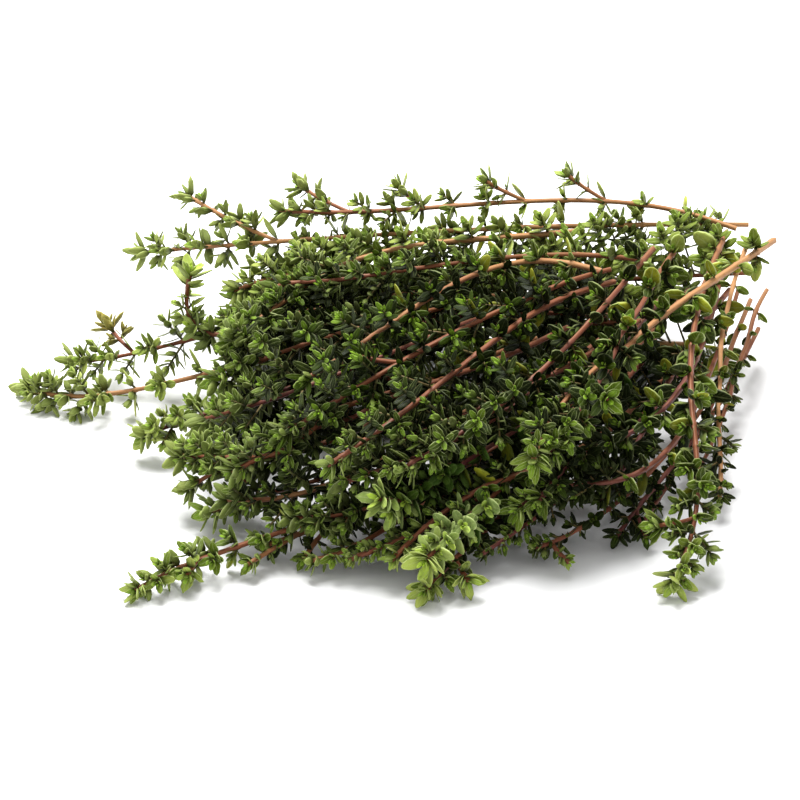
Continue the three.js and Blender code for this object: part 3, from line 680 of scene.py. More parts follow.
def leaf_piece(name, leaves, material):
    """One piece with all the leaves of a sprig. The map named blade gives how far across (0 to 1) and
    along it each spot of a leaf is, and in the map named OFBake each leaf has a cell of its own."""
    points, faces, cells, blades, tones, unders = [], [], [], [], [], []
    grown = leaves.joined()
    total = sum(len(leaf["length"]) for leaf in grown.values())
    first = start = 0
    for form_name, leaf in grown.items():
        form, count = FORMS[form_name], len(leaf["length"])
        made, under = blade_points(form, leaf)
        points.append(made.reshape(-1, 3))
        unders.append(np.tile(under, count))
        tones.append(np.repeat(leaf["tone"], form.skin.points, axis=0))
        rows = np.concatenate([[0.0], form.stations, [1.0]])
        for shapes, steps in form.skin.copies(count, start):
            faces.append(shapes)
            turned, along = steps[..., 0] / form.around, rows[steps[..., 1].astype(int)]
            across = 0.5 + 0.5 * np.cos(2 * np.pi * turned)
            blades.append(np.tile(np.stack([across, along], -1).reshape(-1, 2), (count, 1)))
            corners = np.stack([turned, along], -1).reshape(-1, 2)
            cells.append(in_cells(corners, first, count, total))
        start += count * form.skin.points
        first += count
    piece = new_piece(name, np.concatenate(points), faces, material)
    add_uv(piece, "OFBake", np.concatenate(cells))
    add_uv(piece, "blade", np.concatenate(blades))
    add_value(piece, "tone", np.concatenate(tones))
    add_value(piece, "under", np.concatenate(unders))
    return piece


# --- Stems ---------------------------------------------------------------------------------------


class Section:
    """The outline of a tube: its points' angles from the first corner, in degrees, and their distances
    out as shares of the radius."""

    def __init__(self, angles, distances):
        self.angles, self.distances = np.radians(angles), np.array(distances)
        self.around = len(angles)


SQUARE = Section([k * 45 for k in range(8)], [0.95, 0.72] * 4)
ROUND = Section([k * 60 for k in range(6)], [1.0] * 6)
RING_SPACING = 2.6
NODE_RINGS = np.array([-0.7, -0.25, 0.25, 0.7])
NODE_ROOM = 1
SWELLING_REACH = 0.6
CUT_EDGE = 0.08
POLE_REACH = 0.6

# Bark is tan at 0, red at half way and purple at 1, and SOFT_BARK is green.
BARK_SPREAD = 0.9
TIP_REDDENING = 0.25
SOFT_BARK = 2.0
# Painted light: bark is paler towards the edges of the heap.
BARK_LIGHT_STEPS = (0.5, 1)
BARK_PAINTED_LIGHT = 0.3
# Painted light and shade on stems: upper ridges are lit and the hollows and underside shaded, by how far
# out a point lies and how much it faces up.
RIDGE_LEVEL = 0.55
RIDGE_LIT_FROM_ABOVE = 0.45


def ring_shares(twig):
    """Where a twig's rings stand: evenly along it, closer round each node, and twice at its foot."""
    length = twig.line.length
    even = np.arange(RING_SPACING, length, RING_SPACING) / length
    near = twig.from_node(even) < NODE_ROOM
    nodes = (twig.share[:, None] + NODE_RINGS / length).ravel()
    return np.unique(np.concatenate([[0, CUT_EDGE / length, 1], even[~near], nodes[nodes < 1]]))


class Tubes:
    """Tubes for one piece. Each point has a tone: how red its bark is, how far out on its outline it lies
    times how much it faces up, which gives painted light on the upper ridges and painted shade in the
    hollows and underneath, and how much it is cut wood. The map named bark gives how far round and how
    many millimetres along it is."""

    def __init__(self):
        self.points, self.faces, self.maps, self.tones, self.start = [], [], [], [], 0

    def add(self, section, places, radius, turn, distance, bark, cut):
        """Adds tubes from their rings' places, radii, turns, distances along, how red their bark is and
        how much they are cut wood, each as (tube, ring). At each of the section's angles from the ring's
        turn, a point lies the section's distance times the radius out. A pole closes the first ring, and
        one a little further on closes the last. Bark gets painted light, paler, at the heap's edges."""
        count, rings = radius.shape
        around, skin = section.around, Skin(rings, section.around)
        wide = places.each((..., None, slice(None)))
        out = wide.out(turn[..., None] + section.angles)
        points = wide.point + out * (radius[..., None] * section.distances)[..., None]
        ends = places.each((slice(None), [0, -1]))
        beyond = np.stack([0 * radius[:, -1], radius[:, -1] * POLE_REACH], 1)[..., None]
        points = np.concatenate([points.reshape(count, -1, 3), ends.point + ends.along * beyond], 1)
        points[..., 2] = np.maximum(points[..., 2], 0)
        # Painted light: bark is less red, and so paler, towards the heap's edges.
        bark = bark - np.interp(outwardness(places.point), BARK_LIGHT_STEPS, (0, BARK_PAINTED_LIGHT))
        # Painted light on upward ridges and painted shade in hollows and underneath.
        ridge_and_top_light = section.distances / section.distances.max() * (RIDGE_LEVEL + RIDGE_LIT_FROM_ABOVE * out[..., 2])
        spread = np.repeat(bark, around, 1), ridge_and_top_light.reshape(count, -1), np.repeat(cut, around, 1)
        tone = np.stack(spread, -1)
        pole_tone = np.stack([bark[:, [0, -1]], np.ones((count, 2)), cut[:, [0, -1]]], -1)
        self.points.append(points.reshape(-1, 3))
        self.tones.append(np.concatenate([tone, pole_tone], 1).reshape(-1, 3))
        reached = np.concatenate([distance[:, :1], distance, distance[:, -1:]], 1)
        for shapes, steps in skin.copies(count, self.start):
            self.faces.append(shapes)
            along = reached[:, steps[..., 1].astype(int).ravel()]
            turned = np.broadcast_to(steps[..., 0].ravel() / around, along.shape)
            self.maps.append(np.stack([turned, along], -1).reshape(-1, 2))
        self.start += count * skin.points

    def add_twig(self, twig, first, last):
        """Adds a stem or shoot that runs from share first to share last of the way to the sprig's tip.
        Its radius grows by the swelling times e^-(d / SWELLING_REACH)^2 at the distance d from the
        nearest node. A stem starts at a cut foot. Each sprig has bark of its own, redder to the tip."""
        shares = ring_shares(twig)
        swollen = np.exp(-((twig.from_node(shares) / SWELLING_REACH) ** 2))
        radius = twig.radius(shares) * (1 + stem_settings().swelling * swollen)
        cut = (shares == 0) * float(first == 0)
        towards_tip = first + (last - first) * shares
        bark = chance(twig.s, 0, BARK_KEY) * BARK_SPREAD + TIP_REDDENING * towards_tip
        rings = (radius, twig.turned(shares), shares * twig.line.length, bark, cut)
        self.add(SQUARE, twig.line.at(shares).each(None), *(v[None] for v in rings))

    def piece(self, name, material):
        """One piece with all the tubes."""
        piece = new_piece(name, np.concatenate(self.points), self.faces, material)
        add_uv(piece, "bark", np.concatenate(self.maps))
        add_value(piece, "tone", np.concatenate(self.tones))
        return piece


# --- What grows where ----------------------------------------------------------------------------

# The two leaves of a pair. A blade is SHORTEST_BLADE long at the tip and grows by BLADE_GROWTH for each
# millimetre back from it, and its width goes from NARROW to BROAD of its length.
TIP_PITCH = 0.7
PITCH = 1.1
SHORTEST_BLADE = 4.6
LONGEST_BLADE = 6.8
BLADE_GROWTH = 0.036
LONGER = 1.06
LEAST_VIGOUR = 0.85
VIGOUR_SPREAD = 0.3
NARROW = 0.44
BROAD = 0.52
BROADENING = 70
NARROWEST_SPRIG = 0.88
BREADTH_SPREAD = 0.4
YOUNG_SIZE = 1.12
LEAFINESS = ((0.25, 0.65, 1, 1.5), (0.44, 1, 1, 1.2))
RECURVED_PAIRS = 2
PAIR_BEND = 0.25
FLAT_PAIRS = 3
TIP_CUP = -0.15
PAIR_CUP = 0.25
TIP_FRESHNESS = 0.5
FRESH_REACH = 6
TINT_SPREAD = 0.3
NEVER_GOLDEN = 0.74
GOLD_GROWTH = 3.6
BRONZED = 1.6
# Painted shade: paired leaves get OUTSIDE_SHADE, or INSIDE_SHADE on a sprig inside or under the heap,
# which also gets it on its tufts; an outer sprig's tufts get ORDER_SHADE for each pair back from their
# tips.
OUTSIDE_SHADE = 0.2
INSIDE_SHADE = 0.35

# The tufts. How far they reach goes by the number of their pair, times the sprig's own tufts. Inside the
# heap they also stand between the pairs from FIRST_BETWEEN on, and are longer, and from the first of
# INSIDE_STEPS to the second the sprig's own tufts are brought to within INSIDE_FOOT. A curve is how far
# out a leaf starts, its bend and its cup.
TUFT_LEAN = 0.9
TUFT_FOOT = 0.55
RISING = 0.3
LOWEST_TUFT = 1.0
TUFT_BLADE = 4.5
LONGEST_TUFT = 18
SHORTEST_TUFT = 0.5
SHOOT_TUFTS = 0.7
LEAST_REACH = 0.4
REACH_SPREAD = 1.2
TUFT_LEAF = 0.8
TUFT_LEAF_SPREAD = 0.2
SHORT_TUFT_LEAF = 0.55
FULL_LEAF_REACH = 5
TUFT_NARROWING = 0.94
ORDER_SHADE = 0.07
TUFT_CURVE = (0.1, 0.2, -0.1)
TIP_CURVE = (0.1, 0.15, -0.2)
TWIG_RADII = np.array([0.34, 0.26])
TWIG_LENGTH = 2.0
FIRST_BETWEEN = 3
BARE_INSIDE = 3
INSIDE_STEPS = (8, 12)
INSIDE_FOOT = (0.95, 1.9)
TUFT_PAIRS = (
    # form, millimetres back from the tuft's tip, share of its blade length, pitch, freshness
    ("bud", 0.0, 0.32, 0.25, 1.0),
    ("bud", 0.5, 0.52, 0.5, 0.8),
    ("small", 1.1, 0.74, 0.8, 0.45),
    ("small", 1.9, 0.92, 1.05, 0.2),
    ("small", 2.9, 1.0, 1.2, 0.05),
    ("small", 4.0, 1.05, 1.3, 0.0),
    ("small", 5.2, 1.05, 1.3, 0.0),
    ("small", 6.6, 1.05, 1.3, 0.0),
    ("small", 8.4, 1.0, 1.3, 0.0),
)
TUFT_REACH = ((0, 1, 2, 3, 5, 8, 10, 13, 20), (0.0, 2.0, 3.6, 4.8, 6.3, 7.0, 4.2, 3.6, 4.0))
INSIDE_REACH = ((3, 4, 8, 12), (4.4, 7.0, 7.0, 8.0))
TIP_PAIRS = (
    # form, millimetres back from the tip, length, pitch, freshness
    ("half", 3.1, 6.2, 1.2, 0.1),
    ("half", 2.0, 6.2, 1.05, 0.2),
    ("half", 1.0, 5.6, 0.95, 0.3),
    ("half", 0.6, 4.2, 0.75, 0.5),
    ("bud", 0.25, 2.9, 0.5, 0.8),
    ("bud", 0.0, 1.7, 0.25, 1.0),
)


def broadness(s, back):
    """How wide a leaf of sprig s is for its length, by how far back from the tip it stands."""
    own = NARROWEST_SPRIG + BREADTH_SPREAD * chance(s, 0, BREADTH_KEY)
    return np.interp(back, (0, BROADENING), (NARROW, BROAD)) * own


def leaf_sizes(twig, sides):
    """The length and width of each leaf of a twig's pairs, as (pair, side). Leaves are longer and
    broader further back from the tip."""
    vigour = LEAST_VIGOUR + VIGOUR_SPREAD * chance(twig.s, twig.pair[:, None] + sides, twig.key + LEAF_KEY)
    blade = np.minimum(SHORTEST_BLADE + BLADE_GROWTH * twig.back, LONGEST_BLADE)
    length = vigour * (blade * LONGER * leafiness(twig.s))[:, None]
    return length, length * broadness(twig.s, twig.back)[:, None]


def leafiness(s):
    """How much larger the paired leaves of sprig s are: a young one's are, and the others' go with their
    tufts."""
    if SPRIGS[s].kind == "young":
        return YOUNG_SIZE
    return np.interp(SPRIGS[s].tufts, *LEAFINESS)


def dress_twig(leaves, tubes, twig, small):
    """Grows a twig's leaf pairs, each crossed with the next, a tuft in the corner of each leaf, and the
    rosette at its tip. The leaves of a small twig are made more simply."""
    place = twig.line.at(twig.share).each((slice(None), None))
    pair = twig.pair[:, None]
    sides = pair % 2 + np.array([0, 2])
    roll = twig.turn[:, None] + (sides + 0.5) * QUARTER
    length, width = leaf_sizes(twig, sides)
    fresh = TIP_FRESHNESS * np.exp(-twig.back / FRESH_REACH)[:, None] + node_tint(twig, twig.pair)
    pitch = np.where(pair == 0, TIP_PITCH, PITCH)
    bend = np.where(pair < RECURVED_PAIRS, PAIR_BEND, -PAIR_BEND)
    cup = np.where(pair < FLAT_PAIRS, TIP_CUP, PAIR_CUP)
    start = twig.radius(twig.share)[:, None] / 2
    golden = np.maximum(chance(twig.s, pair * 2 + sides, GOLD_KEY) - NEVER_GOLDEN, 0) * GOLD_GROWTH
    gold = (pair >= LEAFY_PAIRS) * golden + bronzed(twig, small)
    form = "half" if small else "full"
    # Painted shade, more on a sprig inside or under the heap.
    shade = INSIDE_SHADE if is_inside(twig.s) else OUTSIDE_SHADE
    leaves.add(form, place, roll, pitch, length, width, start, bend, cup, fresh, gold, shade)
    if len(twig.pair):
        dress_tufts(leaves, tubes, twig, small)
    dress_tip(leaves, twig, small)


def bronzed(twig, small):
    """How golden all leaves of a twig are: those on a bronze sprig's shoots are past gold."""
    return BRONZED if small and SPRIGS[twig.s].kind == "bronze" else 0


def node_tint(twig, n):
    """How much fresher or darker than the rest the leaves at places n are."""
    return TINT_SPREAD * (chance(twig.s, n, twig.key + TINT_KEY)[:, None] - 0.5)


def tuft_places(twig):
    """Where tufts stand on a twig: their places counted in leaf pairs, how far back from the tip they
    are, and the side of each that carries a shoot, or -1. Inside the heap they also stand half way
    between the pairs, or at each third where they are thickest, and once more past the last pair."""
    n, shoot_side = twig.pair, twig.shoot_side
    if is_inside(twig.s):
        between = [1 / 3, 2 / 3] if SPRIGS[twig.s].tufts > 1 else [1 / 2]
        past_last = n[-1] + np.append(between, 1)
        n = np.concatenate([n, *(n[FIRST_BETWEEN:] - part for part in between), past_last])
        shoot_side = np.append(shoot_side, np.full(len(n) - len(shoot_side), -1))
    back = np.interp(n, twig.pair, twig.back) + WIDEST_GAP * np.maximum(n - twig.pair[-1], 0)
    return n, np.minimum(back, twig.line.length - BARE_INSIDE), shoot_side


def tuft_reaches(twig, n, sides, small):
    """How long the tufts on the sides at places n are."""
    inside, scale = is_inside(twig.s), SPRIGS[twig.s].tufts * (SHOOT_TUFTS if small else 1)
    if inside:
        scale = np.interp(n, INSIDE_STEPS, (scale, np.clip(scale, *INSIDE_FOOT)))
    reach = np.interp(n, *(INSIDE_REACH if inside else TUFT_REACH)) * scale
    spread = chance(twig.s, n[:, None] * 2 + sides, twig.key + TUFT_REACH_KEY)
    return np.minimum(reach[:, None] * (LEAST_REACH + REACH_SPREAD * spread), LONGEST_TUFT)


def tuft_blades(twig, n, sides, reach):
    """How long the leaves of the tufts on the sides at places n are, of which each pair of a tuft has a
    share. Short tufts have shorter leaves."""
    vigour = chance(twig.s, n[:, None] + sides, twig.key + TUFT_BLADE_KEY) + chance(twig.s, 0, VIGOUR_KEY)
    own_size = YOUNG_SIZE if SPRIGS[twig.s].kind == "young" else 1
    blade = TUFT_BLADE * (TUFT_LEAF + TUFT_LEAF_SPREAD * vigour) * own_size
    return blade * np.minimum(SHORT_TUFT_LEAF + reach / FULL_LEAF_REACH, 1)


def tuft_feet(twig, place, roll, reach):
    """Where tufts start, with along as the way that they lean out over their leaves. They rise a little,
    and their tips stay clear of the floor."""
    foot = place.point + place.out(roll) * (TIP_RADIUS * TUFT_FOOT)
    axis = place.leaned(roll, TUFT_LEAN) + UP * RISING * SPRIGS[twig.s].tufts ** 2
    lowest = (LOWEST_TUFT - foot[..., 2]) / np.maximum(reach, 1)
    axis[..., 2] = np.maximum(axis[..., 2], lowest)
    axis = unit(axis)
    return Places(foot, axis, unit(np.cross(np.broadcast_to(place.along, axis.shape), axis)))


def dress_tufts(leaves, tubes, twig, small):
    """A tuft in the corner of each leaf: crossed pairs of shrinking, ever fresher leaves on a short twig.
    There is none where a shoot grows."""
    n, back, shoot_side = tuft_places(twig)
    place = twig.line.at(1 - back / twig.line.length).each((slice(None), None))
    sides = (n % 2)[:, None] + np.array([0, 2])
    roll = np.interp(n, twig.pair, twig.turn)[:, None] + (sides + 0.5) * QUARTER
    reach = tuft_reaches(twig, n, sides, small) * (sides != shoot_side[:, None])
    blade = tuft_blades(twig, n, sides, reach)
    feet = tuft_feet(twig, place, roll, reach)
    gold = bronzed(twig, small)
    for order, (form, behind, share, pitch, freshness) in enumerate(TUFT_PAIRS):
        spot = feet.moved(reach - behind).each((..., None, slice(None)))
        turn = (order % 2) * QUARTER + np.array([0, np.pi])
        length = (blade * share * (reach > behind + SHORTEST_TUFT))[..., None]
        width = length * broadness(twig.s, back)[:, None, None] * TUFT_NARROWING
        fresh = freshness + node_tint(twig, n)[..., None]
        # Painted shade, more on a tuft's older pairs and inside the heap.
        shade = INSIDE_SHADE if is_inside(twig.s) else order * ORDER_SHADE
        leaves.add(form, spot, turn, pitch, length, width, *TUFT_CURVE, fresh, gold, shade)
    kept = reach > SHORTEST_TUFT
    if kept.any():
        add_tuft_twigs(tubes, feet.each(kept), reach[kept])


def add_tuft_twigs(tubes, feet, reach):
    """The soft twigs that tufts stand on, from their feet on for their reach."""
    reached = np.stack([0 * reach, reach], 1)
    rings = feet.each((slice(None), None)).moved(reached)
    zero = 0 * reached
    distance = zero + np.array([0, TWIG_LENGTH])
    tubes.add(ROUND, rings, zero + TWIG_RADII, zero, distance, zero + SOFT_BARK, zero)


def dress_tip(leaves, twig, small):
    """The rosette at a twig's tip: crossed pairs of shrinking, ever fresher leaves. A small twig's are
    all buds, and it has no last pair."""
    for order, (form, back, size, pitch, fresh) in enumerate(TIP_PAIRS[:-1] if small else TIP_PAIRS):
        place = twig.line.at(np.full(2, 1 - back / twig.line.length))
        turn = twig.turned(1.0) + (order + 1.5 + np.array([0, 2])) * QUARTER
        gold, length = bronzed(twig, small), size * leafiness(twig.s)
        width = length * broadness(twig.s, 0)
        form = "bud" if small else form
        leaves.add(form, place, turn, pitch, length, width, *TIP_CURVE, fresh, gold)


# --- Materials -----------------------------------------------------------------------------------


def srgb(red, green, blue):
    """A colour given as 0 to 255 on screen, as the shader's linear numbers."""
    share = np.array([red, green, blue]) / 255
    linear = np.where(share < 0.04045, share / 12.92, ((share + 0.055) / 1.055) ** 2.4)
    return tuple(float(v) for v in linear)


DEEP_GREEN = srgb(18, 27, 2)
LEAF_GREEN = srgb(96, 116, 28)
FRESH_GREEN = srgb(134, 172, 42)
# Painted light on leaves at the heap's edges.
PAINTED_LIGHT_GREEN = srgb(166, 178, 88)
PALE_UNDERSIDE = srgb(124, 134, 76)
PALE_EDGE = srgb(186, 198, 132)
# Painted shade at a leaf's foot.
LEAF_FOOT_SHADE = srgb(18, 22, 4)
GOLDEN = srgb(176, 178, 50)
BRONZE = srgb(172, 116, 52)
YOUNG_DEEP = srgb(52, 76, 22)
YOUNG_GREEN = srgb(156, 176, 104)
YOUNG_FRESH = srgb(190, 220, 76)
TAN_BARK = srgb(175, 127, 80)
RED_BARK = srgb(128, 72, 42)
PURPLE_BARK = srgb(96, 44, 40)
GREEN_BARK = srgb(76, 76, 36)
CUT_WOOD = srgb(208, 190, 146)

# Spots of a pattern to the metre, and how deep it is in metres.
PATCH_SCALE = 650
BLOTCH_SCALE = 420
GLAND_SCALE = 3600
LEAF_GRAIN_SCALE = 5200
BARK_TONE_SCALE = 60
DOWN_SCALE = 4200
FLOOR_SCALE = 30
RELIEF = 0.00012

# The side veins' waves down a leaf, in radians, and how the bark's streaks are stretched: how often they
# change once round a stem and for each millimetre along it.
VEIN_WAVES = 44
STREAKS_ROUND = 9
STREAKS_ALONG = 0.22
STREAK_SCALE = 1.6
FLECK_SHADE = 0.985


class Surface:
    """A material under construction: a Principled shader and the nodes that feed it."""

    def __init__(self, name):
        self.material = bpy.data.materials.new(name)
        self.material.use_nodes = True
        self.tree = self.material.node_tree
        self.shader = self.tree.nodes["Principled BSDF"]

    def add(self, kind, inputs=(), **settings):
        """A node with some of its settings and inputs. An input's value is a number, a colour or another
        node's output."""
        node = self.tree.nodes.new("ShaderNode" + kind)
        for name, value in settings.items():
            setattr(node, name, value)
        for name, value in dict(inputs).items():
            self.set(node.inputs[name], value)
        return node

    def set(self, socket, value):
        """Links an output to an input, or gives it a value."""
        if isinstance(value, bpy.types.NodeSocket):
            self.tree.links.new(value, socket)
        elif socket.type == "RGBA":
            socket.default_value = (*value, 1)
        else:
            socket.default_value = value

    def maths(self, operation, *values):
        """The result of an operation on one or two numbers."""
        return self.add("Math", enumerate(values), operation=operation).outputs[0]

    def times(self, one, other):
        """One number times another."""
        return self.maths("MULTIPLY", one, other)

    def place(self):
        """Where each spot of the surface is on its piece."""
        return self.add("TexCoord").outputs["Object"]

    def parts(self, vector):
        """The three numbers of a vector."""
        return self.add("SeparateXYZ", {"Vector": vector}).outputs

    def tone(self):
        """The three numbers kept at each point of the piece."""
        return self.parts(self.add("Attribute", attribute_name="tone").outputs["Vector"])

    def map(self, name):
        """The two numbers of the piece's own map."""
        across, along, _ = self.parts(self.add("UVMap", uv_map=name).outputs["UV"])
        return across, along

    def mix(self, share, low, high, mode="MIX"):
        """Two colours mixed by a share."""
        node = self.add("Mix", data_type="RGBA", blend_type=mode, clamp_factor=True)
        for k, value in ((0, share), (6, low), (7, high)):
            self.set(node.inputs[k], value)
        return node.outputs[2]

    def ramp(self, value, low, high, start=0.0, end=1.0):
        """A number brought from low..high to start..end and kept within them."""
        inputs = enumerate((value, low, high, start, end))
        return self.add("MapRange", inputs, interpolation_type="SMOOTHSTEP").outputs[0]

    def noise(self, vector, scale, detail=3.0, roughness=0.5):
        """A cloudy pattern from 0 to 1."""
        inputs = {"Vector": vector, "Scale": scale, "Detail": detail, "Roughness": roughness}
        return self.add("TexNoise", inputs).outputs["Fac"]

    def bump(self, height, strength):
        """The surface's direction, with a height's relief on it."""
        inputs = {"Height": height, "Distance": RELIEF, "Strength": strength}
        return self.add("Bump", inputs).outputs[0]

    def finish(self, values):
        """Sets or links the shader's own inputs and gives the material."""
        for name, value in values.items():
            self.set(self.shader.inputs[name], value)
        return self.material


def leaf_ribs(surface, across, along):
    """How much each spot of a leaf is on a rib, and how much on the rolled edge. The midrib runs down
    the middle, and the side veins are the crests of a sine wave that slants forward to both sides."""
    off_middle = surface.maths("ABSOLUTE", surface.maths("SUBTRACT", across, 0.5))
    midrib = surface.ramp(off_middle, 0.02, 0.075, 1, 0)
    slanted = surface.maths("SUBTRACT", along, surface.times(off_middle, 0.5))
    wave = surface.maths("SINE", surface.times(slanted, VEIN_WAVES))
    veins = surface.times(surface.ramp(wave, 0.8, 1), surface.ramp(off_middle, 0.36, 0.46, 1, 0))
    ribs = surface.maths("MAXIMUM", midrib, surface.times(veins, 0.45))
    return ribs, surface.ramp(off_middle, 0.4, 0.48)


def leaf_material(name, deep, green, fresh, foot_shade):
    """The skin of a leaf: deep to mid green in soft patches and by the leaf's own tone, which carries
    painted light at the heap's edges and painted shade over its middle and inside it, and pale where that
    is high. It is fresher where the leaf is young, golden or bronze where it is old, and darker with
    painted shade at its foot. On top are a paler midrib, side veins and rolled edge, and a pale felt is
    below. The dots of its oil glands are all over it."""
    look = leaf_settings()
    surface = Surface(name)
    place = surface.place()
    tint_light_and_shade, young, gold = surface.tone()
    under = surface.add("Attribute", attribute_name="under").outputs["Fac"]
    across, along = surface.map("blade")
    ribs, edge = leaf_ribs(surface, across, along)

    patches = surface.noise(place, PATCH_SCALE, 4, 0.6)
    lightness_and_shade = surface.maths("ADD", surface.times(tint_light_and_shade, 0.55), surface.times(patches, 0.6))
    colour = surface.mix(surface.ramp(lightness_and_shade, 0.25, 0.95), deep, green)
    # Painted light: pale green where the leaf's tone is raised towards the heap's edges.
    colour = surface.mix(surface.ramp(lightness_and_shade, 0.8, 1.5), colour, look.pale)
    colour = surface.mix(surface.ramp(young, 0, 1), colour, fresh)
    blotches = surface.ramp(surface.noise(place, BLOTCH_SCALE, 2), 0.3, 0.6, 0.55, 1)
    colour = surface.mix(surface.times(gold, blotches), colour, look.gold)
    colour = surface.mix(surface.ramp(gold, 1, 2), colour, look.bronze)

    raised = surface.maths("MAXIMUM", surface.times(ribs, 0.4), edge)
    raised = surface.times(raised, surface.ramp(lightness_and_shade, 0, 0.7, 0.1, 0.8))
    top = surface.mix(raised, colour, look.edge)
    below = surface.mix(surface.ramp(lightness_and_shade, 0, 0.7, 0.1, 0.65), colour, look.underside)
    colour = surface.mix(surface.ramp(under, 0.52, 0.7), top, below)
    # Painted shade at the foot of each leaf, where its stalk meets the stem, partly also the stalk's own
    # darker colour.
    foot = surface.times(surface.ramp(along, 0, 0.6, 0.85, 0), foot_shade)
    colour = surface.mix(foot, colour, look.foot)

    glands = surface.add("TexVoronoi", {"Vector": place, "Scale": GLAND_SCALE}).outputs["Distance"]
    dots = surface.ramp(glands, 0.12, 0.3, 1, 0)
    colour = surface.mix(surface.times(dots, 0.2), colour, deep)
    grain = surface.times(surface.noise(place, LEAF_GRAIN_SCALE, 2), 0.35)
    height = surface.maths("SUBTRACT", grain, surface.times(ribs, 0.8))
    height = surface.maths("SUBTRACT", height, surface.times(dots, 0.35))
    return surface.finish({
        "Base Color": colour,
        "Roughness": surface.ramp(patches, 0.3, 0.7, 0.36, 0.54),
        "Normal": surface.bump(height, 0.7),
        "Specular IOR Level": 0.1,
    })


def bark_material(name):
    """The skin of a stem, from tan through red to purple by how red its bark is, and green where it is
    soft. Its ridges are paler where they face up, partly their own paler colour and partly painted light,
    and its hollows and underside are darker with painted shade. It has long dark streaks, pale cut wood at
    the foot, and fine down."""
    look = stem_settings()
    surface = Surface(name)
    place = surface.place()
    bark, ridge_and_top_light, cut = surface.tone()
    turned, along = surface.map("bark")
    wide = surface.maths("SUBTRACT", surface.noise(place, BARK_TONE_SCALE, 2), 0.5)
    spot = {"X": surface.times(turned, STREAKS_ROUND), "Y": surface.times(along, STREAKS_ALONG)}
    streaks = surface.noise(surface.add("CombineXYZ", spot).outputs[0], STREAK_SCALE, 4, 0.65)
    shifted = surface.maths("ADD", bark, surface.times(wide, 0.6))
    colour = surface.mix(surface.ramp(shifted, 0, 0.5), look.tan, look.red)
    colour = surface.mix(surface.ramp(shifted, 0.5, 1), colour, look.purple)
    colour = surface.mix(surface.ramp(bark, 1.3, 1.6), colour, look.soft)
    darker = surface.mix(0.6, colour, look.purple, "MULTIPLY")
    colour = surface.mix(surface.ramp(streaks, 0.5, 0.72, 0, 0.55), colour, darker)
    # Painted shade in the hollows and on the underside.
    colour = surface.mix(surface.ramp(ridge_and_top_light, 0.1, 0.6, 0.75, 0), colour, darker)
    # Painted light on the ridges that face up, partly their own paler colour.
    pale = surface.times(surface.ramp(ridge_and_top_light, 0.75, 1), 0.35)
    colour = surface.mix(pale, colour, look.tan)
    colour = surface.mix(cut, colour, look.cut)
    down = surface.times(surface.noise(place, DOWN_SCALE, 2), 0.4)
    height = surface.maths("ADD", down, surface.times(streaks, 0.6))
    return surface.finish({
        "Base Color": colour,
        "Roughness": surface.ramp(streaks, 0.3, 0.7, 0.45, 0.65),
        "Normal": surface.bump(height, 0.6),
        "Specular IOR Level": 0.3,
        "Sheen Weight": 0.06,
    })


def floor_material(name):
    """A pale matt floor with the faintest flecks."""
    surface = Surface(name)
    fleck = surface.ramp(surface.noise(surface.place(), FLOOR_SCALE, 2), 0.3, 0.7)
    shade = bpy.context.scene.thyme_stage.floor
    colour = surface.mix(fleck, tuple(v * FLECK_SHADE for v in shade), tuple(shade))
    return surface.finish({"Base Color": colour, "Roughness": 0.9, "Specular IOR Level": 0.2})


# --- Settings ------------------------------------------------------------------------------------


def colour_property(name, description, default):
    """A colour that a user may change."""
    return FloatVectorProperty(
        name=name, description=description, default=default, subtype="COLOR", size=3, min=0, max=1
    )


class ThymeLeafSettings(bpy.types.PropertyGroup):
    """Sizes and colours of the leaves."""

    thickness: FloatProperty(
        name="Thickness",
        description="How thick a leaf is for its width",
        default=0.09,
        min=0.02,
        max=0.5,
        subtype="FACTOR",
    )
    deep: colour_property("Deep green", "The darkest green of a grown leaf", DEEP_GREEN)
    green: colour_property("Leaf green", "The lighter green of a grown leaf", LEAF_GREEN)
    fresh: colour_property("Fresh green", "The green of the smallest leaves", FRESH_GREEN)
    young_deep: colour_property("Young deep green", "The darkest green on a young sprig", YOUNG_DEEP)
    young_green: colour_property("Young green", "The lighter green on a young sprig", YOUNG_GREEN)
    young_fresh: colour_property("Young fresh green", "Its smallest leaves' green", YOUNG_FRESH)
    # Painted light on the leaves at the edges of the heap.
    pale: colour_property("Pale green", "Leaves at the edges of the heap", PAINTED_LIGHT_GREEN)
    underside: colour_property("Underside", "The felt under a leaf", PALE_UNDERSIDE)
    edge: colour_property("Edge and ribs", "The rolled edge, midrib and veins", PALE_EDGE)
    gold: colour_property("Gold", "The few old leaves near the foot", GOLDEN)
    bronze: colour_property("Bronze", "The leaves of a bronze shoot", BRONZE)
    # Painted shade on a leaf's stalk and foot.
    foot: colour_property("Leaf foot", "The shaded stalk and foot of a leaf", LEAF_FOOT_SHADE)


class ThymeStemSettings(bpy.types.PropertyGroup):
    """Sizes and colours of the stems."""

    swelling: FloatProperty(
        name="Node swelling",
        description="How much thicker a stem is at its nodes",
        default=0.24,
        min=0,
        max=1,
        subtype="FACTOR",
    )
    tan: colour_property("Tan bark", "The palest bark, and the ridges of all", TAN_BARK)
    red: colour_property("Red bark", "The bark of most stems", RED_BARK)
    purple: colour_property("Purple bark", "The darkest bark, and the streaks of all", PURPLE_BARK)
    soft: colour_property("Soft bark", "The soft twigs under the tufts", GREEN_BARK)
    cut: colour_property("Cut wood", "The wood that shows at the cut foot", CUT_WOOD)


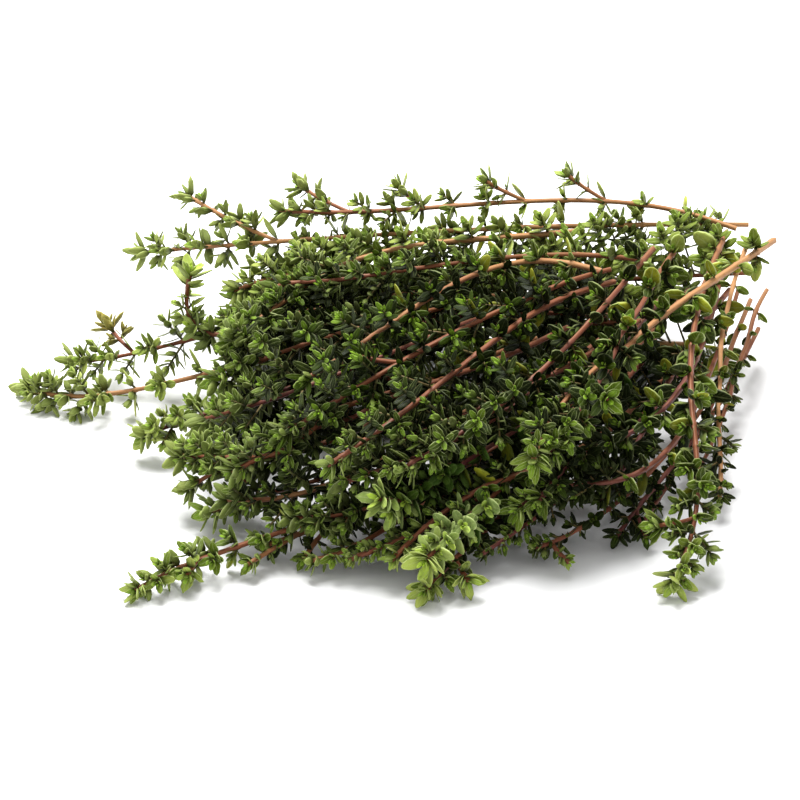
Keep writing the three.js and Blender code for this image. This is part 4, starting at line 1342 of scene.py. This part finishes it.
class ThymeStageSettings(bpy.types.PropertyGroup):
    """The camera, the lights and the floor."""

    elevation: FloatProperty(
        name="Elevation",
        description="How far above the floor the camera looks down from",
        default=np.radians(28),
        min=0,
        max=QUARTER,
        subtype="ANGLE",
        unit="ROTATION",
    )
    distance: FloatProperty(
        name="Distance",
        description="From the camera to the heap",
        default=0.85,
        min=0.2,
        subtype="DISTANCE",
        unit="LENGTH",
    )
    key_light: FloatProperty(
        name="Key light",
        description="Power of the large soft light overhead",
        default=35.0,
        min=0,
        subtype="POWER",
        unit="POWER",
    )
    surround: FloatProperty(
        name="Surround",
        description="Brightness of the white room",
        default=0.8,
        min=0,
    )
    floor: colour_property("Floor", "The pale floor", (0.86, 0.86, 0.865))


def leaf_settings():
    """The sizes and colours of the leaves, as the user has them."""
    return bpy.context.scene.thyme_leaves


def stem_settings():
    """The sizes and colours of the stems, as the user has them."""
    return bpy.context.scene.thyme_stems


# --- Operators -----------------------------------------------------------------------------------

# The bark of a side shoot is as red as its stem's from SHOOT_FROM of the way on. Leaves keep LEAF_ROOM
# more than its radius clear of another sprig's stem.
SHOOT_FROM = 0.75
LEAF_ROOM = 0.2
# Painted shade at a young leaf's foot, as a share of a grown leaf's.
YOUNG_FOOT_SHADE = 0.5


def shared_material(name, make, *colours):
    """The material of that name, made on first use."""
    return bpy.data.materials.get(name) or make(name, *colours)


def obstacles_of(stems, s):
    """The sample points of all stems but stem s, and the room that each needs."""
    share = np.linspace(0, 1, 2 * SAMPLES + 1)
    others = [stem for stem in stems if stem.s != s]
    points = np.concatenate([stem.line.at(share).point for stem in others])
    room = np.concatenate([stem.radius(share) + LEAF_ROOM for stem in others])
    return points, room


def dress_sprig(stem, stems, leaf, bark):
    """The two pieces of a sprig: its leaves, clear of the other stems, and its wood."""
    leaves, tubes = Leaves(stem.s), Tubes()
    shoots = grown_shoots(stem)
    tubes.add_twig(stem, 0, 1)
    dress_twig(leaves, tubes, stem, False)
    for shoot in shoots:
        tubes.add_twig(shoot, SHOOT_FROM, 1)
        dress_twig(leaves, tubes, shoot, True)
    points, room = obstacles_of(stems, stem.s)
    leaves.keep_clear(points, room)
    leaves.darken(points)
    name = node_name(stem.s)
    return leaf_piece(name + "_leaves", leaves, leaf), tubes.piece(name + "_stem", bark)


class THYME_OT_sprigs(bpy.types.Operator):
    """Dress every sprig of the bundle with a fine stem and leaves"""

    bl_idname = "thyme.sprigs"
    bl_label = "Dress the sprigs"

    def execute(self, context):
        if len(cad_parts) != len(SPRIGS):
            raise RuntimeError("the packed solids and the table of sprigs have different numbers")
        look = leaf_settings()
        stems = [grown_stem(s, points) for s, points in enumerate(settled_lines())]
        bark = shared_material("thyme_bark", bark_material)
        grown = shared_material("thyme_leaf", leaf_material, look.deep, look.green, look.fresh, 1.0)
        colours = (look.young_deep, look.young_green, look.young_fresh, YOUNG_FOOT_SHADE)
        young = shared_material("thyme_young_leaf", leaf_material, *colours)
        for stem in stems:
            is_young = SPRIGS[stem.s].kind == "young"
            foliage, wood = dress_sprig(stem, stems, young if is_young else grown, bark)
            for piece in (foliage, wood):
                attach(piece, "root")
                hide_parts(node_name(stem.s))
        return {"FINISHED"}


FLOOR_REACH = 3.0
KEY_SIZE = 0.8
KEY_PLACE = (-0.15, 0.45, 1.25)
SENSOR = 36.0
VIEW_WIDTH = 0.2
LOOKED_AT = (0.0003, -0.00983, 0.0172)


def link(name, data):
    """A new object in the scene for a mesh, a light or a camera."""
    new_object = bpy.data.objects.new(name, data)
    bpy.context.scene.collection.objects.link(new_object)
    return new_object


def aim(placed, place, way):
    """Puts a light or the camera at a place in metres, to look along a way."""
    placed.location = place
    placed.rotation_euler = way.to_track_quat("-Z", "Y").to_euler()


class THYME_OT_stage(bpy.types.Operator):
    """Add the floor, the lights and the camera"""

    bl_idname = "thyme.stage"
    bl_label = "Add the stage"

    def execute(self, context):
        scene, stage = context.scene, context.scene.thyme_stage
        scene.view_settings.view_transform = "Standard"
        floor = bpy.data.meshes.new("floor")
        corners = [(x * FLOOR_REACH, y * FLOOR_REACH, 0) for x, y in ((-1, -1), (1, -1), (1, 1), (-1, 1))]
        floor.from_pydata(corners, [], [(0, 1, 2, 3)])
        floor.materials.append(shared_material("pale_floor", floor_material))
        link("floor", floor)

        world = bpy.data.worlds.new("white_room")
        world.use_nodes = True
        world.node_tree.nodes["Background"].inputs["Color"].default_value = (1, 1, 1, 1)
        world.node_tree.nodes["Background"].inputs["Strength"].default_value = stage.surround
        scene.world = world
        key = bpy.data.lights.new("key_light", "AREA")
        key.energy = stage.key_light
        key.shape = "DISK"
        key.size = KEY_SIZE
        aim(link("key_light", key), KEY_PLACE, -Vector(KEY_PLACE))

        camera = bpy.data.cameras.new("camera")
        camera.sensor_width = SENSOR
        camera.lens = SENSOR * stage.distance / VIEW_WIDTH
        back = Vector((0, -np.cos(stage.elevation), np.sin(stage.elevation)))
        scene.camera = link("camera", camera)
        aim(scene.camera, Vector(LOOKED_AT) + back * stage.distance, -back)
        return {"FINISHED"}


class THYME_PT_bundle(bpy.types.Panel):
    """The settings and steps of the thyme bundle"""

    bl_idname = "THYME_PT_bundle"
    bl_label = "Thyme bundle"
    bl_space_type = "VIEW_3D"
    bl_region_type = "UI"
    bl_category = "Thyme"

    def draw(self, context):
        """A box for each group of settings, and a button for each step."""
        scene = context.scene
        for settings in (scene.thyme_leaves, scene.thyme_stems, scene.thyme_stage):
            box = self.layout.box()
            for name in settings.__annotations__:
                box.prop(settings, name)
        self.layout.operator(THYME_OT_sprigs.bl_idname)
        self.layout.operator(THYME_OT_stage.bl_idname)


SETTINGS = {
    "thyme_leaves": ThymeLeafSettings,
    "thyme_stems": ThymeStemSettings,
    "thyme_stage": ThymeStageSettings,
}
CLASSES = (*SETTINGS.values(), THYME_OT_sprigs, THYME_OT_stage, THYME_PT_bundle)


def register():
    """Makes the settings and steps known to Blender, and keeps the settings with the scene."""
    for cls in CLASSES:
        bpy.utils.register_class(cls)
    for name, settings in SETTINGS.items():
        setattr(bpy.types.Scene, name, PointerProperty(type=settings))


def unregister():
    """Undoes what register did, the other way round."""
    for name in SETTINGS:
        delattr(bpy.types.Scene, name)
    for cls in reversed(CLASSES):
        bpy.utils.unregister_class(cls)


def main():
    """Registers the classes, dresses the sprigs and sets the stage."""
    register()
    bpy.ops.thyme.sprigs()
    bpy.ops.thyme.stage()


if __name__ == "__main__":
    main()
